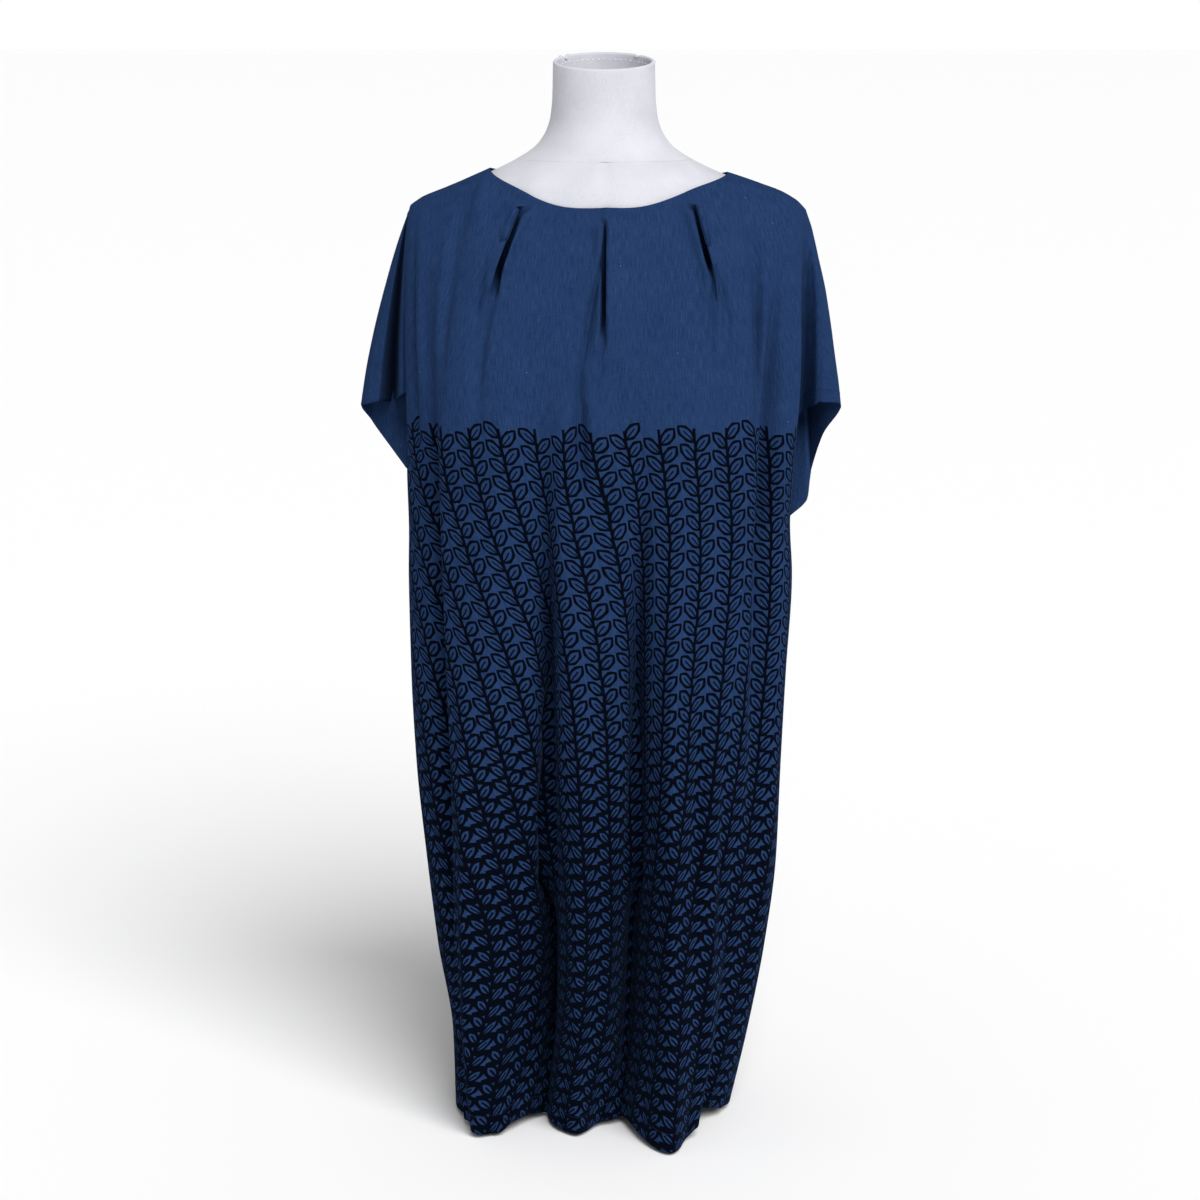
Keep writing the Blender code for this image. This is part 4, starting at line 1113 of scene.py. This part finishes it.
def make_cloth(name, node, panel, creases, sleeves, sleeve_hems):
    top_shares = np.linspace(0.0, 1.0, TOP_ROWS + 1)[:-1] ** TOP_CROWDING
    points, plain, levels, shade = panel_grid(panel, creases, top_shares, cloth_heights())
    points = roll_seams(points, levels)
    mesh = bmesh.new()
    # the painted shade of deep folds, read by the cloth's material
    painted_shade = mesh.verts.layers.float.new(SHADE_MAP)
    verts = add_grid(mesh, points, panel.facing)
    across, up = flat_places(points, plain, levels)
    cut = {}
    for i, row in enumerate(verts):
        for j, vert in enumerate(row):
            cut[vert] = (across[i, j], up[i, j])
            vert[painted_shade] = shade[i, j]
    lines = {}
    for side, column in SIDES.items():
        rows = sleeve_rows(points, levels, side, panel, sleeves[side], sleeve_hems[side])
        edge = [row[column] for row in verts]
        line = add_sleeve(mesh, edge, rows, cut, painted_shade, -1 if side == "left" else 1)
        for upper, lower in zip(line, line[1:]):
            bridge(mesh, upper, lower, (side == "right") == (panel.facing > 0))
        lines[side] = [[vert.co.copy() for _, vert in row] for row in line]
    layer = mesh.loops.layers.uv.new(CUT_MAP)
    for face in mesh.faces:
        for loop in face.loops:
            loop[layer].uv = cut[loop.vert]
    places = np.array(list(cut.values()))
    width, length = places.max(axis=0) - places.min(axis=0)
    size = (float(width), float(length), sum(face.calc_area() for face in mesh.faces))
    print(name, "faces", len(mesh.faces), "width, length and area", [round(v, 4) for v in size])
    obj = mesh_object(name, mesh, cloth_outside, cloth_inside)
    shell = obj.modifiers.new("cloth_thickness", "SOLIDIFY")
    shell.thickness = CLOTH_THICKNESS
    shell.offset = -1.0
    shell.use_even_offset = False
    shell.material_offset = 1
    shell.material_offset_rim = 0
    into_frame(obj, node)
    return Cloth(obj, points, levels, lines, size, panel.facing)


# %% [markdown]
# ### The front
# The front carries the neckline's three pleats, the two deep flutes that rise from the hem, and the left
# sleeve, whose hem folds into a deep trough. On a real tunic it is one cut of cloth, hung by its seams.

# %% Make the front
level_hem = {"left": SLEEVE_HEM_Z, "right": SLEEVE_HEM_RIGHT_Z}
front_panel = Panel(-1, FRONT_FOLDS, FRONT_EDGES, FRONT_DEPTH, FRONT_NECK, PLEATS)
front_cloth = make_cloth("tunic_front", "front", front_panel, FRONT_CREASES, FRONT_SLEEVES, level_hem)

# %% [markdown]
# ### The back
# The back is plain: it falls from the shoulder blades in three long flutes, and its sleeves reach down to
# the underarm, so their inside shows behind the front's sleeve hems.


# %% Make the back
def back_edge(side):
    """The front's edge, but with the back's own armhole."""
    share = [ease(UNDERARM_Z[side], SLEEVE_HEM_Z, edge.z) for edge in FRONT_EDGES[side]]
    return [Edge(e.z, e.x, BACK_ARMHOLE_Y[side] * s) for e, s in zip(FRONT_EDGES[side], share)]


back_edges = {side: back_edge(side) for side in SIDES}
back_panel = Panel(1, BACK_FOLDS, back_edges, BACK_DEPTH, BACK_NECK, ())
back_cloth = make_cloth("tunic_back", "back", back_panel, BACK_CREASES, BACK_SLEEVES, UNDERARM_Z)

# %% [markdown]
# ## The form's cover
# A dress form is a padded body under a tight jersey cover, sewn from panels: a centre seam runs down the
# front, and another seam rings the base of the neck, where the tube for the neck is set in. The cover is
# lofted from the same sections as the solid, with many more of them, and the seams are pressed in as
# narrow grooves. One closed surface of this kind needs no simulation: the padding holds it tight.

# %% The form's finish
JERSEY_WHITE = (0.57, 0.57, 0.612, 1.0)
JERSEY_SHADE = (0.50, 0.50, 0.553, 1.0)
JERSEY_RIBS = (1400.0, 1400.0, 260.0)
JERSEY_CLOUDS = 26.0
JERSEY_BUMP = (0.4, 0.0003)
GRAIN_SPREAD = (0.35, 0.65)

sheen = {"Sheen Weight": 0.12, "Sheen Roughness": 0.5}
jersey = Finish("white_jersey", {"Roughness": 0.86, "Specular IOR Level": 0.2, **sheen})
ribs = jersey.grain(JERSEY_RIBS)
clouds = jersey.noise(jersey.node("ShaderNodeTexCoord", output=3), JERSEY_CLOUDS)
knit = jersey.times_plus(ribs, 0.5, jersey.times(clouds, 0.5))
jersey.tint(knit, GRAIN_SPREAD, JERSEY_SHADE, JERSEY_WHITE)
jersey.bump(ribs, *JERSEY_BUMP)

# %% The cover's shape
NECK_RINGS = table(
    Ring, 0,
    (1017, 88, 67, 63), (1022.5, 78.5, 63.5, 61), (1030, 68.5, 60, 58.5), (1038, 62, 57, 56),
    (1047, 57.2, 54.5, 54), (1060, 53.5, 52.5, 52.5), (1080, 51.7, 51.3, 51.3), (1111.5, 51, 51, 51),
)
NECK_TILT = math.radians(8.8)
NECK_RIM_ROUND = 0.0022
NECK_BORE_RADIUS = 0.0468
NECK_BORE_DEPTH = 0.045
COVER_SIDES = 240
COVER_ROW = 0.006
SEAM_GROOVE = 0.0008
SEAM_GROOVE_WIDTH = 0.0055
CENTRE_SEAM_X = 0.002
NECK_SEAM_Z = 1.0155
NECK_SEAM_WIDTH = 0.0034
NECK_SEAM_DEPTH = 0.0008
EDGE_ANGLE = math.radians(50)


def ring_at(rings, z):
    return Ring(z, *[float(column_at(rings, name, z)) for name in Ring._fields[1:]])


def cover_ring(ring, groove=0.0):
    """Points of one ring, from the front round by the right, with the centre seams pressed in."""
    points = []
    sunk = NECK_SEAM_DEPTH * bell(ring.z - NECK_SEAM_Z, NECK_SEAM_WIDTH)
    for k in range(COVER_SIDES):
        angle = 2 * math.pi * k / COVER_SIDES
        reach = ring.front if math.cos(angle) > 0 else ring.back
        point = Vector((ring.half_width * math.sin(angle), -reach * math.cos(angle), ring.z))
        pressed = groove * bell(point.x - CENTRE_SEAM_X, SEAM_GROOVE_WIDTH)
        pressed += sunk * max(math.cos(angle), 0.0) ** 0.5
        flat = Vector((point.x, point.y, 0.0))
        points.append(point - flat.normalized() * float(pressed))
    return points


def make_cover(name, node, rings):
    """A closed skin through the rings."""
    mesh = bmesh.new()
    loops = [[mesh.verts.new(point) for point in ring] for ring in rings]
    for lower, upper in zip(loops, loops[1:]):
        for k in range(COVER_SIDES):
            n = (k + 1) % COVER_SIDES
            mesh.faces.new((lower[k], upper[k], upper[n], lower[n]))
    mesh.faces.new(loops[0])
    mesh.faces.new(loops[-1])
    bmesh.ops.recalc_face_normals(mesh, faces=mesh.faces)
    print(name, "faces", len(mesh.faces))
    cover = mesh_object(name, mesh, jersey.material)
    cover.data.set_sharp_from_angle(angle=EDGE_ANGLE)
    into_frame(cover, node)


# %% Make the torso's cover
BODY_FROM, BODY_TO = 0.358, 0.940  # even rows between these, closer ones at the rounded ends
LOW_END = (0.352, 14)
HIGH_END = (0.944, 1.01694, 44)

low_levels = np.linspace(TORSO_RINGS[0].z, *LOW_END)
torso_levels = np.concatenate([low_levels, np.arange(BODY_FROM, BODY_TO, COVER_ROW), np.linspace(*HIGH_END)])
torso_rings = [cover_ring(ring_at(TORSO_RINGS, z), SEAM_GROOVE) for z in torso_levels]
make_cover("torso_cover", "form_torso", torso_rings)

# %% [markdown]
# ### The neck
# The neck's cover runs up the tube, over a rolled rim and down into the bore, where a line of running
# stitches holds its turned edge. The rim slopes down to the front.

# %% Make the neck's cover
Tuck = namedtuple("Tuck", "turn width deep high")
RIM_TUCKS = table(
    Tuck, 2,
    (4.1, 0.05, 1.6, -1.6), (4.22, 0.05, -0.8, 1.2), (3.97, 0.05, -0.8, 1), (1.38, 0.05, 1.6, -1.4),
    (1.5, 0.05, -1, 1), (2.36, 0.045, 1.2, -1.2),
)
NECK_FOOT = (0.006, 7)  # height and rows of the flared foot
NECK_TUBE = (0.009, 0.004, 30)  # gaps below and above the tube's rows, and how many there are
RIM_STEPS = 12
BORE_ROWS = 12
NECK_TOP = NECK_RINGS[-1].z
NECK_RADIUS = NECK_RINGS[-1].front


def tucked(points):
    """The turned edge is gathered at a few places, which leaves small notches between small bumps."""
    moved = []
    for k, point in enumerate(points):
        angle = 2 * math.pi * k / COVER_SIDES
        outward = Vector((math.sin(angle), -math.cos(angle), 0.0))
        for tuck in RIM_TUCKS:
            share = float(bell(angle - tuck.turn, tuck.width))
            point = point - outward * tuck.deep * share + Vector((0.0, 0.0, tuck.high * share))
        moved.append(point)
    return moved


def leaned(ring, share=1.0):
    """A ring of the neck's cover, sloped down to the front."""
    return [Vector((p.x, p.y, p.z + p.y * math.sin(NECK_TILT) * share)) for p in cover_ring(ring)]


def round_ring(z, radius):
    return Ring(z, radius, radius, radius)


def neck_levels():
    low = NECK_RINGS[0].z
    above, below, rows = NECK_TUBE
    foot = np.linspace(low, low + NECK_FOOT[0], NECK_FOOT[1])
    return np.concatenate([foot, np.linspace(low + above, NECK_TOP - below, rows), [NECK_TOP]])


neck_rings = []
for z in neck_levels():
    neck_rings.append(leaned(ring_at(NECK_RINGS, z), ease(NECK_RINGS[1].z, NECK_TOP, z)))
rim_middle = (NECK_RADIUS + NECK_BORE_RADIUS) / 2
rim_half = (NECK_RADIUS - NECK_BORE_RADIUS) / 2
for k in range(1, RIM_STEPS):
    turn = math.pi * k / RIM_STEPS
    ring = round_ring(NECK_TOP + NECK_RIM_ROUND * math.sin(turn), rim_middle + rim_half * math.cos(turn))
    neck_rings.append(tucked(leaned(ring)))
for z in np.linspace(NECK_TOP, NECK_TOP - NECK_BORE_DEPTH, BORE_ROWS):
    neck_rings.append(leaned(round_ring(z, NECK_BORE_RADIUS)))
make_cover("neck_cover", "form_neck", neck_rings)

# %% [markdown]
# ## The stitches
# Each hem is turned up and held by a row of stitches, and so is the cover's edge inside the bore. A stitch
# is a short piece of thread pulled tight, which looks like a small bead, longer than it is thick. A node
# tree lays them along a line, each a little longer or shorter than the last.

# %% The tree that lays stitches
BEAD = {"Segments": 6, "Rings": 4, "Radius": 0.5}
STITCH_SEED = 7
SHORTEST, LONGEST = 0.84, 1.12  # shares of the stitch's size


def stitch_tree():
    tree = bpy.data.node_groups.new("stitches_along_a_line", "GeometryNodeTree")
    given = {
        "Line": "Geometry", "Pitch": "Float", "Length": "Float", "Thickness": "Float", "Seed": "Int",
        "Thread": "Material",
    }
    for name, kind in given.items():
        tree.interface.new_socket(name, in_out="INPUT", socket_type="NodeSocket" + kind)
    tree.interface.new_socket("Stitches", in_out="OUTPUT", socket_type="NodeSocketGeometry")
    add = Tree(tree).node
    sizes = tree.nodes.new("NodeGroupInput").outputs
    line = add("GeometryNodeMeshToCurve", {"Mesh": sizes["Line"]})
    places = add("GeometryNodeResampleCurve", {"Curve": line, "Length": sizes["Pitch"]}, mode="LENGTH")
    bead = add("GeometryNodeMeshUVSphere", BEAD)
    size = add("ShaderNodeCombineXYZ", {0: sizes["Length"], 1: sizes["Thickness"], 2: sizes["Thickness"]})
    stitch = add("GeometryNodeTransform", {"Geometry": bead, "Scale": size})
    heading = add("GeometryNodeInputTangent")
    turn = add("FunctionNodeAlignRotationToVector", {"Vector": heading}, axis="X")
    spread = {2: SHORTEST, 3: LONGEST, "Seed": sizes["Seed"]}
    uneven = add("FunctionNodeRandomValue", spread, 1, data_type="FLOAT")
    laid = {"Points": places, "Instance": stitch, "Rotation": turn, "Scale": uneven}
    real = add("GeometryNodeRealizeInstances", {"Geometry": add("GeometryNodeInstanceOnPoints", laid)})
    soft = add("GeometryNodeSetShadeSmooth", {"Geometry": real})
    sewn = add("GeometryNodeSetMaterial", {"Geometry": soft, "Material": sizes["Thread"]})
    tree.links.new(sewn, tree.nodes.new("NodeGroupOutput").inputs["Stitches"])
    return tree


stitches = stitch_tree()


def sew(name, slot, lines, pitch, length, thickness, thread):
    verts, edges = [], []
    for line in lines:
        start = len(verts)
        verts += [tuple(point) for point in line]
        edges += [(start + k, start + k + 1) for k in range(len(line) - 1)]
    data = bpy.data.meshes.new(name)
    data.from_pydata(verts, edges, [])
    obj = placed(name, data)
    laying = obj.modifiers.new("stitches", "NODES")
    laying.node_group = stitches
    values = {"Pitch": pitch, "Length": length, "Thickness": thickness, "Thread": thread}
    values["Seed"] = STITCH_SEED
    for socket in stitches.interface.items_tree:
        if socket.in_out == "INPUT" and socket.name in values:
            laying[socket.identifier] = values[socket.name]
    bpy.context.view_layer.update()
    graph = bpy.context.evaluated_depsgraph_get()
    plain = bpy.data.meshes.new_from_object(obj.evaluated_get(graph))
    obj.modifiers.clear()
    obj.data = plain
    bpy.data.meshes.remove(data)
    plain.name = name
    print(name, "faces", len(plain.polygons))
    into_frame(obj)
    return obj


# %% The threads
TWIST_GRAIN = (5200.0, 5200.0, 2600.0)
TWIST_BUMP = (0.5, 0.0001)
NAVY_LIGHT = (0.010, 0.024, 0.070, 1.0)
NAVY_DARK = (0.005, 0.012, 0.038, 1.0)
WHITE_LIGHT = (0.90, 0.90, 0.92, 1.0)
WHITE_DARK = (0.78, 0.78, 0.82, 1.0)


def sewing_thread(name, light, dark):
    thread = Finish(name, {"Roughness": 0.62, "Sheen Weight": 0.03, "Specular IOR Level": 0.05})
    twist = thread.grain(TWIST_GRAIN, 2.0, 0.6)
    thread.tint(twist, GRAIN_SPREAD, dark, light)
    thread.bump(twist, *TWIST_BUMP)
    return thread.material


navy_thread = sewing_thread("navy_thread", NAVY_LIGHT, NAVY_DARK)
white_thread = sewing_thread("white_thread", WHITE_LIGHT, WHITE_DARK)

# %% Sew the hems and the cover's edge
HEM_TURNING = 0.020
SLEEVE_TURNING = 0.012
HEM_STITCH = (0.0034, 0.0028, 0.00055)  # pitch, length and thickness
RIM_STITCH = (0.0056, 0.0034, 0.0009)
RIM_STITCHES_DOWN = 0.0046
STITCH_STANDS = 0.15 * HEM_STITCH[2]  # how far a stitch stands out of the cloth


def hem_lines(cloth):
    row = int(np.argmin(abs(cloth.levels - (HEM_Z + HEM_TURNING))))
    raised = cloth.points[row] + grid_normals(cloth.points, cloth.facing)[row] * STITCH_STANDS
    lines = [raised[1:-1]]
    for rows in cloth.sleeves.values():
        hem = rows[-1][-1].z + SLEEVE_TURNING
        lines.append(min(rows, key=lambda line: abs(line[-1].z - hem))[1:])
    return lines


for cloth, name in ((front_cloth, "front_hem_stitches"), (back_cloth, "back_hem_stitches")):
    sewn = sew(name, "tunic_cloth", hem_lines(cloth), *HEM_STITCH, navy_thread)
    width, length, area = cloth.size
rim_line = leaned(round_ring(NECK_TOP - RIM_STITCHES_DOWN, NECK_BORE_RADIUS))
sew("neck_stitches", "form_cover", [rim_line + rim_line[:1]], *RIM_STITCH, white_thread)

# %% [markdown]
# ## The stand
# The foot, the pole and the socket are turned or cut from steel, and their solids already have the right
# shape. Brushed steel shows fine scratches round the pole, and a satin coat softens the foot.

# %% Finish the stand
STEEL = (0.60, 0.60, 0.62, 1.0)
STEEL_DULL = (0.50, 0.50, 0.53, 1.0)
SMOOTHER, ROUGHER = -0.07, 0.10
SCRATCH_SPREAD = (0.3, 0.7)
SCRATCH_ROUGH = (0.2, 0.8)
SCRATCH_BUMP = (0.15, 0.0001)


def steel(name, roughness, scratches):
    metal = Finish(name, {"Metallic": 1.0})
    grain = metal.grain(scratches, 3.0, 0.6)
    metal.tint(grain, SCRATCH_SPREAD, STEEL_DULL, STEEL)
    metal.set("Roughness", metal.ramp(grain, *SCRATCH_ROUGH, roughness + SMOOTHER, roughness + ROUGHER))
    metal.bump(grain, *SCRATCH_BUMP)
    return metal.material


pole_steel = steel("steel_turned", 0.28, (60.0, 60.0, 2600.0))
foot_steel = steel("steel_satin", 0.42, (900.0, 900.0, 900.0))
for node, material in (("stand_pole", pole_steel), ("pole_socket", pole_steel), ("stand_foot", foot_steel)):
    bpy.data.objects[node].data.materials[0] = material
